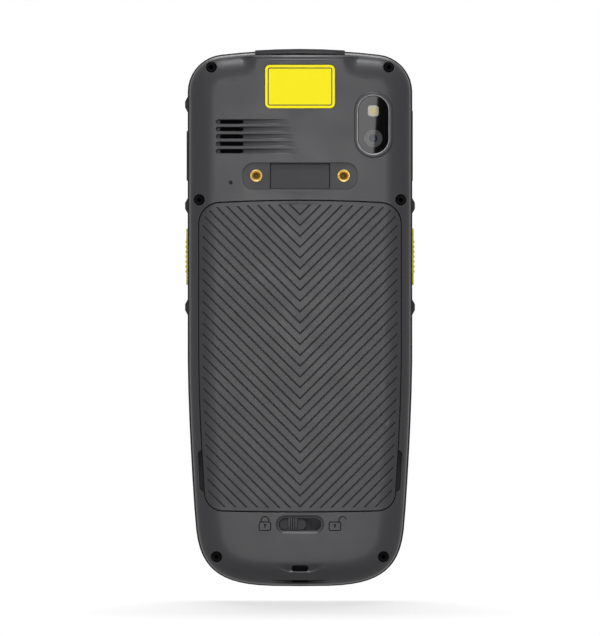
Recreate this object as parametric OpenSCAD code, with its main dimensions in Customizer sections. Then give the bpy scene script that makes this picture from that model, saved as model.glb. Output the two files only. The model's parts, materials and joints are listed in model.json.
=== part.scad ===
// Portable barcode data terminal, standing on its bottom end.
// +Z runs up its length. -Y is the back, with the battery cover. +Y is the display side.
// The origin lies under the middle of the body, on the plane that the bottom end touches.

/* [Outline] */
// Width of the body across its straight sides
body_w = 75; // [72:0.5:80]
// Height of the chin below the battery cover
chin_h = 25.3; // [24.5:0.1:30]
// Length of the battery cover
cover_l = 103.1; // [100:0.1:112]
// Height of the head above the battery cover
brow_h = 50.6; // [50:0.1:58]
// Radius of the two top corners
top_corner_r = 12.5; // [11:0.5:14]
// Radius of the arched top edge
top_arch_r = 225; // [180:5:300]
// Height over which the bottom end is rounded
end_h = 26; // [22:1:30]
// Squareness of the bottom end, where 2 is an ellipse
end_power = 3.6; // [3.2:0.1:4.2]
// Height below which the sides taper in
taper_h = 75; // [65:1:90]
// How far each side tapers in towards the bottom end
taper_in = 4.2; // [3:0.1:4.6]

/* [Housings] */
// Thickness of the side walls
wall = 1.9; // [1.7:0.1:2.1]
// Thickness of the back wall
back_wall = 1.9; // [1.8:0.1:2]
// Thickness of the front wall behind the keys
front_wall = 1.7; // [1.5:0.1:1.8]
// Step by which the rear housing is narrower than the front one
seam_step = 0.7; // [0.5:0.1:0.9]
// Width over which the back edge rolls over
roll_w = 8.5; // [7.5:0.5:9]
// Depth by which the back edge rolls over
roll_d = 4.2; // [3.6:0.2:4.4]
// Radius of the front edge
front_roll_r = 2.2; // [1.8:0.1:2.4]
// Width of the flat on the rim around the front
rim_flat = 1.2; // [1:0.1:1.6]
// Height of the rim above the front field
rim_h = 1.1; // [1:0.1:1.4]
// Half width of the scanner hump at its crest
hump_crest = 14.7; // [14.3:0.1:16]
// Half width of the scanner hump at its foot
hump_foot = 19.3; // [18:0.1:22]
// Length of the scanner hump
hump_l = 22; // [18:1:26]
// Drop from the rear housing's top to the lip of the hump
hump_lip = 0.9; // [0.7:0.1:1.1]

/* [Side bumpers] */
// Height by which a bumper stands out of the side
bump_h = 0.9; // [0.9:0.1:1.2]
// Length of a bumper at its foot
bump_l = 5.3; // [4.5:0.1:6]
// Distance between neighbouring bumpers
bump_pitch = 33.85; // [32:0.05:35]
// Drop from the cover's top edge to the middle bumpers
bump_drop = 1.4; // [1:0.1:2]

/* [Battery cover] */
// Margin between the body's outline and the cover's side edge
cover_margin = 4; // [3.8:0.1:4.6]
// Thickness of the cover's rim
cover_rim_t = 2.4; // [2.3:0.1:2.8]
// Thickness of the cover's web inside the rim
cover_web_t = 1.6; // [1.4:0.1:1.7]
// Width of the cover's rim
cover_rim_w = 2.4; // [2:0.1:3]
// Radius of the cover's top corners
cover_top_r = 7; // [6:0.5:8]
// Radius of the cover's bottom corners
cover_bottom_r = 6; // [5:0.5:7]
// Bow of the cover's top edge
cover_top_bow = 0.7; // [0.4:0.1:0.8]
// Bow of the cover's bottom edge
cover_bottom_bow = 0.3; // [0.2:0.1:0.4]
// Gap around the cover
cover_gap = 0.35; // [0.3:0.05:0.45]
// Gap between the cover's rim and its ledge
seat_gap = 0.2; // [0.2:0.05:0.3]
// Pitch of the herringbone grooves along the cover
groove_pitch = 3.59; // [3.2:0.01:4]
// Width of a herringbone groove
groove_w = 0.6; // [0.4:0.1:0.8]
// Depth of a herringbone groove
groove_d = 0.45; // [0.3:0.05:0.5]
// Plain border between the grooves and the cover's edge
groove_border = 1.2; // [1:0.1:1.6]
// Width of a tongue on the cover's top edge
tongue_w = 8; // [6:0.5:9]
// Reach of a tongue under the housing
tongue_l = 2.1; // [1.8:0.1:2.2]
// Thickness of a tongue
tongue_t = 1.2; // [1:0.1:1.2]
// Distance between the middles of neighbouring tongues
tongue_pitch = 20; // [18:0.5:21]
// Length of a finger notch beside the cover
notch_l = 13.7; // [12:0.1:16]
// Width of a finger notch
notch_w = 1.2; // [1:0.1:1.3]
// Rise from the cover's bottom edge to a finger notch
notch_rise = 6.5; // [6.2:0.1:9]
// Number of ribs across the cover's inner side
cover_ribs = 5; // [3:1:7]

/* [Battery] */
// Margin between the cover's side edge and the battery pack
battery_margin = 4; // [3.6:0.1:6]
// Thickness of the battery pack
battery_t = 5; // [4.6:0.1:6]
// Gap around the battery pack
battery_gap = 0.5; // [0.4:0.05:0.6]
// Wall of the battery bay
bay_wall = 1.4; // [1.2:0.1:1.6]
// Floor of the battery bay
bay_floor_t = 1.1; // [1:0.1:1.4]
// Solid ledge at the bottom and top of the bay, under the cover
bay_ledge = 8.2; // [8:0.1:9]

/* [Latch] */
// Length of the latch slot
slot_l = 14.2; // [14:0.1:16]
// Height of the latch slot
slot_h = 4.2; // [4:0.1:4.4]
// Margin of the sunk recess around the latch slot
recess_margin = 1; // [0.8:0.05:1.1]
// Depth of the sunk recess around the latch slot
recess_d = 0.9; // [0.8:0.05:0.9]
// Width of the bevel around the sunk recess
recess_bevel = 0.3; // [0.2:0.05:0.3]
// Travel of the latch
latch_travel = 4.9; // [4.5:0.1:5]
// Drop from the cover's bottom edge to the latch slot's middle
latch_drop = 4.3; // [4.2:0.05:4.6]
// Width of the ribbed thumb block
thumb_w = 3.5; // [3:0.1:4.5]

/* [Back details] */
// Radius of a screw well
well_r = 1.8; // [1.75:0.05:1.9]
// Radius of a screw's shank
screw_r = 0.8; // [0.7:0.05:0.85]
// Distance from the body's side to the two screws beside the cover
middle_screw_inset = 4; // [3.9:0.1:4.2]
// Distance from the body's side to the two highest screws
high_screw_inset = 8; // [7.5:0.1:9]
// Distance from the body's side to the two lowest screws
low_screw_inset = 4.7; // [4.4:0.1:6]
// Height of the two lowest screws
low_screw_z = 10.2; // [9.8:0.1:11]
// Drop from the top end to the two highest screws
high_screw_drop = 6.1; // [6:0.1:6.8]
// Number of speaker slots
speaker_slots = 5; // [3:1:5]
// Distance between neighbouring speaker slots
speaker_pitch = 2.44; // [2.3:0.02:2.6]
// Length of a speaker slot
speaker_slot_l = 7.8; // [7:0.1:8.5]
// Height of a speaker slot
speaker_slot_h = 1.2; // [1:0.1:1.3]
// Depth of a run-out groove beside a speaker slot
scoop_d = 0.8; // [0.5:0.1:1]
// Rise from the strap recess to the middle of the speaker slots
speaker_rise = 8.7; // [8.7:0.1:12]
// Distance from the body's side to the middle of the speaker slots
speaker_inset = 14.8; // [14.2:0.1:16]
// Distance between the strap inserts
strap_pitch = 29.05; // [28:0.05:30]
// Outer radius of a strap insert
insert_r = 2; // [1.9:0.05:2.2]
// Radius of the threaded bore of a strap insert
insert_bore_r = 1.25; // [1:0.05:1.3]
// Width of the strap recess
strap_w = 38.1; // [37.5:0.1:39]
// Height of the strap recess
strap_h = 8.9; // [8:0.1:9]
// Width of the deeper pocket in the strap recess
strap_pocket_w = 20.1; // [18:0.1:21]
// Depth of the strap recess
strap_d = 0.8; // [0.6:0.05:0.8]
// Width of the plate on the back
label_w = 23.3; // [20:0.1:25]
// Height of the plate on the back
label_h = 14.5; // [12:0.1:15]
// Drop from the top end to the middle of the plate
label_drop = 12.65; // [12.4:0.05:13.5]
// Width of the camera window
camera_w = 10.6; // [10.2:0.1:11]
// Height of the camera window
camera_h = 19.8; // [19:0.1:21]
// Distance from the body's side to the middle of the camera window
camera_inset = 13.2; // [12.6:0.1:14]
// Rise from the strap recess to the camera window
camera_rise = 2.7; // [2.4:0.1:5]
// Distance between the lens and the flash
camera_pitch = 9.1; // [8.8:0.1:10]
// Width of the lanyard slot
lanyard_w = 5.7; // [5:0.1:7]

/* [Side keys] */
// Height of the side keys across the edge of the body
side_key_t = 4.9; // [4.6:0.1:5]
// Length of a scan key
scan_key_l = 18.9; // [17:0.1:20]
// Height by which a scan key stands out of the side
scan_key_proud = 0.5; // [0.4:0.05:0.55]
// Height of the grip ribs on a scan key
grip_rib_h = 0.3; // [0.2:0.05:0.3]
// Travel of a scan key
side_travel = 0.6; // [0.5:0.05:0.6]
// Length of the volume key
volume_key_l = 16.6; // [15:0.1:18]
// Height by which the volume key stands out of the side
volume_key_proud = 0.4; // [0.3:0.05:0.5]
// Length of the connector flap
flap_l = 23.6; // [21:0.1:24]
// Thickness of the connector flap
flap_t = 1.5; // [1.4:0.05:1.5]
// Height by which the connector flap stands out of the side
flap_proud = 0.2; // [0.1:0.05:0.3]
// Gap around a side key or flap
side_gap = 0.25; // [0.2:0.01:0.3]

/* [Display and keypad] */
// Margin between the body's side and the display glass
glass_margin = 7; // [6.2:0.1:8]
// Thickness of the display glass
glass_t = 1; // [0.9:0.1:1.2]
// Thickness of the display module
display_t = 2.3; // [2.1:0.1:2.6]
// Thickness of the boards
board_t = 1; // [0.8:0.1:1.2]
// Height of the shield cans
can_h = 2; // [1.8:0.1:2.2]
// Drop from the top end to the top of the display glass
glass_drop = 12.5; // [12.4:0.1:14]
// Gap between the top row of keys and the display glass
key_glass_gap = 3; // [2.5:0.1:4]
// Height of the middle of the lowest row of keys
first_row_z = 20; // [19.8:0.1:22]
// Distance between neighbouring rows
row_pitch = 10.4; // [10:0.1:11]
// Distance between neighbouring columns
col_pitch = 14.2; // [14:0.1:14.6]
// Space between neighbouring key caps
key_space = 2.8; // [2.4:0.1:3.6]
// Space beside the wide scan key
wide_key_space = 3.6; // [3:0.1:5]
// Height of the top row of keys
top_key_h = 9; // [8:0.1:9.4]
// Height by which a key stands out of the front field
key_proud = 0.85; // [0.7:0.05:0.95]
// Travel of a key
key_travel = 0.5; // [0.4:0.05:0.5]
// Gap around a key cap
key_gap = 0.25; // [0.2:0.01:0.3]

/* [Hidden] */
shell_grey = [0.2, 0.2, 0.21];
key_names = [
  ["key_star", "key_zero", "key_hash", "key_enter"],
  ["key_seven", "key_eight", "key_nine", "key_down"],
  ["key_four", "key_five", "key_six", "key_up"],
  ["key_one", "key_two", "key_three", "key_clear"]
];
rows = len(key_names);
cols = len(key_names[0]);

// Small fits that many pieces share
touch_gap = 0.1;
slide_gap = 0.15;
rest_gap = 0.2;
more = 1;

// Heights along the body
cover_z0 = chin_h;
cover_z1 = chin_h + cover_l;
body_l = cover_z1 + brow_h;

// The stack of layers behind the parting plane, and the one in front of it
battery_top_gap = 0.3;
battery_floor_gap = 0.1;
rear_t = cover_rim_t + battery_top_gap + battery_t + battery_floor_gap + bay_floor_t + touch_gap;
can_gap = 1;
display_gap = 0.5;
field_t = can_gap + can_h + board_t + display_gap + display_t + touch_gap + glass_t;
front_t = field_t + rim_h;
part_y = (rear_t - front_t) / 2;
back_y = part_y - rear_t;
front_y = part_y + front_t;
field_y = part_y + field_t;
board_y = part_y + can_gap + can_h;
inner_back_y = back_y + back_wall;
inner_front_y = field_y - front_wall;
cover_under_y = back_y + cover_rim_t;
ledge_y = cover_under_y + seat_gap;
battery_y = cover_under_y + battery_top_gap;
bay_floor_y = battery_y + battery_t + battery_floor_gap;
shelf_y = field_y - glass_t;
key_floor_y = inner_front_y - 0.9;
roll_y = back_y + roll_d;
cavity_y = roll_y + 0.2;

// Keypad and display heights
key_w = col_pitch - key_space;
key_h = row_pitch - key_space;
wide_key_w = 3 * col_pitch - key_w - 2 * wide_key_space;
flange_space = 1.2;
key_flange = (key_space - flange_space) / 2;
top_row_space = 3.45;
top_row_z = first_row_z + (rows - 1) * row_pitch + (key_h + top_key_h) / 2 + top_row_space;
keypad_z1 = top_row_z + top_key_h / 2;
glass_z0 = keypad_z1 + key_glass_gap;
glass_z1 = body_l - glass_drop;
glass_l = glass_z1 - glass_z0;
glass_z = (glass_z0 + glass_z1) / 2;
glass_w = body_w - 2 * glass_margin;
board_half_w = body_w / 2 - 7;
boss_r = screw_r + 1.6;
keypad_board_z0 = low_screw_z + boss_r + 0.6;
keypad_board_z1 = keypad_z1 - 0.4;
main_board_z0 = keypad_board_z1 + 0.6;
main_board_z1 = glass_z1 - 1;

// Battery bay
bay_z0 = cover_z0 + bay_ledge;
bay_z1 = cover_z1 - bay_ledge - cover_top_bow;
battery_w = 2 * (half_w(bay_z0) - cover_margin - battery_margin);
bay_w = battery_w + 2 * battery_gap;
battery_z0 = bay_z0 + battery_gap;
battery_z1 = bay_z1 - battery_gap;

// Latch
latch_z = cover_z0 - latch_drop;
slider_l = slot_l - latch_travel - 2 * slide_gap;
slider_x0 = -slot_l / 2 + slide_gap;
recess_y = back_y + recess_d;
guide_y0 = inner_back_y + slide_gap;
guide_y1 = guide_y0 + 0.75;
guide_h = slot_h + 1.8;
guide_over = 1.5;
bolt_x0 = slider_x0 + 1.6;
bolt_w = 4.5;
bolt_z1 = cover_z0 - cover_gap + 0.05;
bolt_y1 = guide_y1 + 0.65;
lug_z0 = cover_z0 + 0.1;
lug_z1 = lug_z0 + 1.8;
lug_y1 = bolt_y1 + 1;

// Side keys, measured from the cover's top edge
side_wall_x = body_w / 2;
inner_side_x = side_wall_x - wall;
seal_groove_d = 0.6;
side_key_y = (part_y + seal_groove_d + inner_front_y) / 2;
scan_key_z = cover_z1 - 18.35;
volume_key_z = cover_z1 + 15.4;
flap_z0 = cover_z1 + 6.9;
socket_z = flap_z0 + flap_l / 2;
socket_w = 9;
socket_t = 3.2;
flange_t = 1.1;
switch_x = inner_side_x - 2 * rest_gap - flange_t - side_travel;
socket_l = 7;
socket_x1 = inner_side_x - rest_gap;
socket_x0 = socket_x1 - socket_l;
display_w = 2 * (socket_x0 - 2 * rest_gap);
display_l = glass_l - (glass_w - display_w);

// Back details
strap_rise = 3.8;
strap_z = cover_z1 + strap_rise + strap_h / 2;
strap_z1 = strap_z + strap_h / 2;
strap_insert_z = strap_z + 0.15;
strap_back = 1.3;
label_z = body_l - label_drop;
camera_x = side_wall_x - camera_inset;
camera_z = strap_z1 + camera_rise + camera_h / 2;
speaker_x = side_wall_x - speaker_inset;
speaker_z = strap_z1 + speaker_rise;
slots_half_h = (speaker_slots - 1) / 2 * speaker_pitch;
flash_z = camera_z + camera_pitch / 2;
lens_z = camera_z - camera_pitch / 2;
mic_space = 3.95;
mic_x = -strap_w / 2 - mic_space;
mic_z = cover_z1 + 6;
window_w = 2 * hump_crest + 0.4;
window_y0 = inner_back_y + 0.3;
window_y1 = part_y - 0.4;
window_t = 1.6;

// The body's outline

function side_w(z) = body_w / 2 - taper_in * pow(max(0, (taper_h - z) / taper_h), 1.5);
function half_w(z) =
  side_w(z) * pow(1 - pow(max(0, (end_h - z) / end_h), end_power), 1 / end_power);
function arc(cx, cz, r, a0, a1, n) =
  [for (i = [0:n]) let (a = a0 + (a1 - a0) * i / n) [cx + r * cos(a), cz + r * sin(a)]];
// Mirrors a right half that starts and ends on the middle line into a closed outline
function closed(half) =
  concat(half, [for (i = [len(half) - 2:-1:1]) [-half[i][0], half[i][1]]]);
function inward(a, b) = let (d = b - a) [-d[1], d[0]] / norm(d);
// Moves an anticlockwise outline inwards by d, edge by edge
function inset(pts, d) =
  let (n = len(pts))
  [for (i = [0:n - 1])
    let (m = inward(pts[(i + n - 1) % n], pts[i]), k = inward(pts[i], pts[(i + 1) % n]))
    pts[i] + (m + k) * d / (1 + m * k)];

arch_z = body_l - top_arch_r;
corner_x = body_w / 2 - top_corner_r;
corner_z = arch_z + sqrt(pow(top_arch_r - top_corner_r, 2) - corner_x * corner_x);
corner_a = atan2(corner_z - arch_z, corner_x);
bottom_half = [for (i = [0:15])
  let (a = 6 * i, z = end_h * (1 - pow(cos(a), 2 / end_power)))
  [side_w(z) * pow(sin(a), 2 / end_power), z]];
side_half = [for (i = [1:5]) let (z = end_h + (taper_h - end_h) * i / 5) [half_w(z), z]];
outline = closed(concat(
  bottom_half,
  side_half,
  arc(corner_x, corner_z, top_corner_r, 0, corner_a, 9),
  arc(0, arch_z, top_arch_r, corner_a + (90 - corner_a) / 4, 90, 3)
));
rear_outline = inset(outline, seam_step);

// The battery cover's outline
function cover_w(z) = half_w(z) - cover_margin;
cover_bottom_x = cover_w(cover_z0 + cover_bottom_r) - cover_bottom_r;
cover_top_x = cover_w(cover_z1 - cover_top_r) - cover_top_r;
cover_side_z0 = cover_z0 + cover_bottom_bow + cover_bottom_r;
cover_side_z1 = cover_z1 - cover_top_bow - cover_top_r;
cover_outline = closed(concat(
  [for (i = [0:2]) [cover_bottom_x * i / 3, cover_z0 + cover_bottom_bow * pow(i / 3, 2)]],
  arc(cover_bottom_x, cover_side_z0, cover_bottom_r, -90, 0, 8),
  [for (i = [1:5])
    let (z = cover_side_z0 + (cover_side_z1 - cover_side_z0) * i / 6) [cover_w(z), z]],
  arc(cover_top_x, cover_side_z1, cover_top_r, 0, 90, 8),
  [for (i = [2:-1:0]) [cover_top_x * i / 3, cover_z1 - cover_top_bow * pow(i / 3, 2)]]
));

// A finger notch on the right: it follows the cover's side and has round ends
notch_z0 = cover_z0 + notch_rise;
notch_z1 = notch_z0 + notch_l;
function notch_point(z, out) = [cover_w(z) + out, z];
notch = concat(
  [notch_point(notch_z0, -1)],
  [for (i = [0:4]) let (a = i * 90 / 4)
    notch_point(notch_z0 + notch_w * (1 - cos(a)), notch_w * sin(a))],
  [for (i = [4:-1:0]) let (a = i * 90 / 4)
    notch_point(notch_z1 - notch_w * (1 - cos(a)), notch_w * sin(a))],
  [notch_point(notch_z1, -1)]
);

function rounded(w, h, r) = concat(
  arc(w / 2 - r, r - h / 2, r, -90, 0, 8),
  arc(w / 2 - r, h / 2 - r, r, 0, 90, 8),
  arc(r - w / 2, h / 2 - r, r, 90, 180, 8),
  arc(r - w / 2, r - h / 2, r, 180, 270, 8)
);

// Building blocks

// Extrudes a flat shape, drawn with X across and Z up, from y0 to y1
module slab(y0, y1) {
  translate([0, y1, 0]) rotate([90, 0, 0]) linear_extrude(y1 - y0) children();
}

module prism(pts, y0, y1) {
  slab(y0, y1) polygon(pts);
}

module plate(x, z, w, h, r, y0, y1) {
  translate([x, 0, z]) prism(rounded(w, h, r), y0, y1);
}

module block(x0, x1, y0, y1, z0, z1) {
  translate([x0, y0, z0]) cube([x1 - x0, y1 - y0, z1 - z0]);
}

module post(x, z, r, y0, y1) {
  translate([x, y1, z]) rotate([90, 0, 0]) cylinder(r = r, h = y1 - y0, $fn = 48);
}

// A solid through rings of one outline, each step holding an inset and a Y
module loft(pts, steps) {
  n = len(pts);
  last = len(steps) - 1;
  points = [for (s = steps) for (p = inset(pts, s[0])) [p[0], s[1], p[1]]];
  sides = [for (k = [0:last - 1]) for (i = [0:n - 1])
    let (j = (i + 1) % n) [k * n + i, k * n + j, (k + 1) * n + j, (k + 1) * n + i]];
  near_cap = [for (i = [n - 1:-1:0]) i];
  far_cap = [for (i = [0:n - 1]) last * n + i];
  polyhedron(points, concat([near_cap], sides, [far_cap]));
}

module mirrored() {
  children();
  mirror([1, 0, 0]) children();
}

// The screws' places on the right, as [x, z]
screw_places = [
  [half_w(low_screw_z) - low_screw_inset, low_screw_z],
  [side_wall_x - middle_screw_inset, cover_z1 + 0.4],
  [side_wall_x - high_screw_inset, body_l - high_screw_drop]
];

module at_screws() {
  for (s = screw_places, side = [-1, 1]) translate([side * s[0], 0, s[1]]) children();
}

// The back with its rolled edge, from the back face to the parting plane
module rear_form() {
  loft(rear_outline, concat(
    [for (i = [8:-1:0])
      let (a = i * 90 / 8) [roll_w * (1 - cos(a)), back_y + roll_d * (1 - sin(a))]],
    [[0, part_y]]
  ));
}

module hump() {
  intersection() {
    prism(inset(rear_outline, hump_lip), back_y - more, part_y);
    translate([0, 0, body_l - hump_l]) linear_extrude(hump_l + more) polygon([
      [-hump_foot, part_y], [-hump_foot, roll_y], [-hump_crest, back_y],
      [hump_crest, back_y], [hump_foot, roll_y], [hump_foot, part_y]
    ]);
  }
}

module rear_cavity() {
  difference() {
    union() {
      prism(inset(rear_outline, wall), cavity_y, part_y + more);
      difference() {
        prism(inset(rear_outline, 5.2), inner_back_y, cavity_y + more);
        prism(inset(cover_outline, -1.6), inner_back_y - more, cavity_y + 2 * more);
      }
    }
    block(-bay_w / 2 - bay_wall, bay_w / 2 + bay_wall, roll_y - 0.1, part_y - touch_gap,
      bay_z0 - bay_wall, bay_z1 + bay_wall);
    block(-strap_w / 2 - strap_back, strap_w / 2 + strap_back, inner_back_y - more,
      back_y + 2 * strap_d + strap_back, strap_z - strap_h / 2 - strap_back, strap_z1 + strap_back);
    for (side = [-1, 1]) {
      post(side * strap_pitch / 2, strap_insert_z, insert_r + 1.4, inner_back_y - more, insert_y1 + 0.8);
      block(side * spring_post_x - spring_post_w / 2, side * spring_post_x + spring_post_w / 2,
        inner_back_y - more, guide_y1 + slide_gap, latch_z - 2.6, latch_z + 2.2);
    }
    at_screws() post(0, 0, well_r + 0.8, inner_back_y - more, part_y + 2 * more);
  }
}

insert_y0 = back_y + strap_d;
insert_l = 4;
insert_y1 = insert_y0 + insert_l;
well_d = 3.6;
head_y = back_y + well_d;
tongue_root = 1.8;
strap_r = 3.7;
label_d = 0.2;
mic_r = 0.55;
spring_post_x = slot_l / 2 + 4.2;
spring_post_w = 2.8;
spring_over = 1;

module speaker_cuts() {
  scoop_h = speaker_slot_h + 0.5;
  scoop_x0 = -speaker_x - speaker_slot_l / 2 - 1.4 + scoop_h / 2;
  scoop_x1 = -speaker_x + speaker_slot_l / 2;
  for (i = [0:speaker_slots - 1]) {
    z = speaker_z + (i - (speaker_slots - 1) / 2) * speaker_pitch;
    run = 15.3 + 0.9 * (speaker_slots - 1 - i);
    plate(-speaker_x, z, speaker_slot_l, speaker_slot_h, speaker_slot_h / 2 - 0.01,
      back_y, inner_back_y + more);
    post(scoop_x0, z, scoop_h / 2, back_y - more, back_y + scoop_d);
    translate([0, 0, z - scoop_h / 2]) linear_extrude(scoop_h) polygon([
      [scoop_x0, back_y - more], [scoop_x0, back_y + scoop_d], [scoop_x1, back_y + scoop_d],
      [scoop_x1 + run, back_y], [scoop_x1 + run, back_y - more]
    ]);
  }
}

barrel_r = 3;
flash_w = 3.7;

// The collar that keeps the camera's seat level where the back rolls away
module camera_collar() {
  collar = 1.2;
  plate(camera_x, camera_z, camera_w + 2 * collar, camera_h + 2 * collar,
    camera_w / 2 + collar - 0.01, back_y, roll_y);
}

module camera_cuts() {
  plate(camera_x, camera_z, camera_w + 0.8, camera_h + 0.8, camera_w / 2 + 0.39,
    back_y - more, back_y + 0.9);
  post(camera_x, lens_z, barrel_r + 0.7, back_y, inner_back_y + more);
  plate(camera_x, flash_z, flash_w + 0.6, flash_w + 0.6, 1, back_y, inner_back_y + more);
}

module latch_cuts() {
  recess_w = slot_l + 2 * recess_margin;
  recess_h = slot_h + 2 * recess_margin;
  recess_r = recess_h / 2 - 0.01;
  plate(0, latch_z, recess_w, recess_h, recess_r, back_y - more, recess_y);
  translate([0, 0, latch_z]) loft(rounded(recess_w, recess_h, recess_r),
    [[-recess_bevel - more, back_y - more], [0, back_y + recess_bevel]]);
  plate(0, latch_z, slot_l, slot_h, slot_h / 2 - 0.01, back_y, inner_back_y + more);
  block(-slot_l / 2 - 2.4, slot_l / 2 + 2.4, inner_back_y, roll_y + 0.3,
    latch_z - guide_h / 2 - 0.5, latch_z + guide_h / 2 + 0.3);
  block(bolt_x0 - 0.7, bolt_x0 + bolt_w + latch_travel + 0.7, inner_back_y, bolt_y1 + 0.4,
    latch_z, bolt_z1 + 0.2);
  block(bolt_x0 - 0.7, bolt_x0 + bolt_w + 0.7, ledge_y - 0.1, lug_y1 + 0.4, latch_z, lug_z1 + 0.5);
}

module lanyard_cuts() {
  slot_z0 = 5.3;
  slot_z1 = 7.4;
  tunnel_y0 = back_y + 2.6;
  tunnel_y1 = tunnel_y0 + 1.8;
  plate(0, (slot_z0 + slot_z1) / 2, lanyard_w, slot_z1 - slot_z0, 0.7, back_y - more, tunnel_y1);
  block(-lanyard_w / 2, lanyard_w / 2, tunnel_y0, tunnel_y1, -more, slot_z1);
  block(-lanyard_w / 2, lanyard_w / 2, back_y, tunnel_y1, -more, 1.7);
}

// The tunnel's walls, which keep it apart from the hollow inside
module lanyard_walls() {
  block(-lanyard_w / 2 - 1.2, lanyard_w / 2 + 1.2, back_y + 2, back_y + 5.4,
    seam_step + wall - touch_gap, 8.6);
}

module rear_housing() {
  color(shell_grey) difference() {
    union() {
      difference() {
        union() {
          rear_form();
          hump();
          camera_collar();
        }
        rear_cavity();
      }
      lanyard_walls();
    }
    prism(inset(cover_outline, -cover_gap), back_y - more, ledge_y);
    block(-bay_w / 2, bay_w / 2, back_y, bay_floor_y, bay_z0, bay_z1);
    for (i = [-1:1])
      block(i * tongue_pitch - tongue_w / 2 - 0.4, i * tongue_pitch + tongue_w / 2 + 0.4,
        cover_under_y - tongue_t - rest_gap, back_y + norm([cover_rim_t, tongue_l]) + 0.5,
        cover_z1 - tongue_root, cover_z1 + tongue_l + 0.7);
    mirrored() prism(notch, back_y - more, ledge_y);
    cover_gasket_groove();
    at_screws() {
      post(0, 0, well_r, back_y - more, head_y);
      post(0, 0, screw_r + 0.15, back_y, part_y + more);
    }
    speaker_cuts();
    post(mic_x, mic_z, mic_r, back_y - more, inner_back_y + more);
    plate(0, strap_z, strap_w, strap_h, strap_r, back_y - more, back_y + strap_d);
    block(-strap_pocket_w / 2, strap_pocket_w / 2, back_y - more, back_y + 2 * strap_d,
      strap_z - strap_h / 2, strap_z + strap_h / 2);
    for (side = [-1, 1])
      post(side * strap_pitch / 2, strap_insert_z, insert_r, back_y, insert_y1);
    plate(0, label_z, label_w + 0.3, label_h + 0.3, 1.8, back_y - more, back_y + label_d);
    camera_cuts();
    latch_cuts();
    lanyard_cuts();
    window_pocket();
    contacts_notch();
  }
}

gasket_w = 0.8;
gasket_d = 0.5;
gasket_in = cover_rim_w / 2;

module cover_gasket_groove() {
  difference() {
    prism(inset(cover_outline, gasket_in - touch_gap), ledge_y - more, ledge_y + gasket_d);
    prism(inset(cover_outline, gasket_in + gasket_w + touch_gap), ledge_y - 2 * more, ledge_y + more);
    block(-tongue_pitch - tongue_w, tongue_pitch + tongue_w, ledge_y - 2 * more, ledge_y + more,
      cover_z1 - 4, cover_z1 + more);
    block(bolt_x0 - 1.5, bolt_x0 + bolt_w + latch_travel + 1.5, ledge_y - 2 * more, ledge_y + more,
      cover_z0 - more, cover_z0 + 4);
  }
}

// The sealing ring under the cover's rim, open where the tongues and the latch pass
module cover_gasket() {
  color([0.05, 0.05, 0.05]) difference() {
    prism(inset(cover_outline, gasket_in), cover_under_y + slide_gap, ledge_y + gasket_d);
    prism(inset(cover_outline, gasket_in + gasket_w), cover_under_y - more, ledge_y + more);
    block(-tongue_pitch - tongue_w - 0.1, tongue_pitch + tongue_w + 0.1, cover_under_y - more,
      ledge_y + more, cover_z1 - 4.1, cover_z1 + more);
    block(bolt_x0 - 1.6, bolt_x0 + bolt_w + latch_travel + 1.6, cover_under_y - more,
      ledge_y + more, cover_z0 - more, cover_z0 + 4.1);
  }
}

module herringbone() {
  first_z = cover_z1 - 4.6;
  count = ceil((cover_l + body_w / 2) / groove_pitch);
  arm = groove_w / 2 * sqrt(2);
  reach = body_w / 2;
  intersection() {
    polygon(inset(cover_outline, groove_border));
    union() {
      for (i = [0:count - 1]) translate([0, first_z - i * groove_pitch]) polygon([
        [0, -arm], [reach, reach - arm], [reach, reach + arm],
        [0, arm], [-reach, reach + arm], [-reach, reach - arm]
      ]);
    }
  }
}

// Ribs that stiffen the cover's web: some across it and two along it
module cover_rib_walls() {
  rib_t = 0.9;
  rib_x = cover_w(cover_z1) / 2;
  pitch = cover_l / (cover_ribs + 1);
  for (i = [1:cover_ribs])
    block(-body_w / 2, body_w / 2, back_y, cover_under_y,
      cover_z0 + i * pitch - rib_t / 2, cover_z0 + i * pitch + rib_t / 2);
  for (side = [-1, 1])
    block(side * rib_x - rib_t / 2, side * rib_x + rib_t / 2, back_y, cover_under_y, cover_z0, cover_z1);
}

module battery_cover() {
  color([0.22, 0.22, 0.23]) {
    difference() {
      intersection() {
        rear_form();
        prism(cover_outline, back_y - more, cover_under_y);
      }
      difference() {
        prism(inset(cover_outline, cover_rim_w), back_y + cover_web_t, cover_under_y + more);
        cover_rib_walls();
      }
      slab(back_y - more, back_y + groove_d) herringbone();
    }
    for (i = [-1:1])
      block(i * tongue_pitch - tongue_w / 2, i * tongue_pitch + tongue_w / 2,
        cover_under_y - tongue_t, cover_under_y, cover_z1 - tongue_root, cover_z1 + tongue_l);
    block(bolt_x0, bolt_x0 + bolt_w, cover_under_y - 0.2, lug_y1, lug_z1 - 0.8, lug_z1);
    block(bolt_x0, bolt_x0 + bolt_w, lug_y1 - 0.8, lug_y1, lug_z0, lug_z1);
  }
}

module battery_pack() {
  color([0.3, 0.31, 0.33])
    plate(0, (battery_z0 + battery_z1) / 2, battery_w, battery_z1 - battery_z0, 2,
      battery_y, battery_y + battery_t);
}

contacts_w = 12;
contacts_y0 = cavity_y + touch_gap;

module contacts_notch() {
  block(-contacts_w / 2 - touch_gap, contacts_w / 2 + touch_gap, cavity_y, bay_floor_y,
    bay_z1 - more, bay_z1 + bay_wall + more);
}

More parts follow.
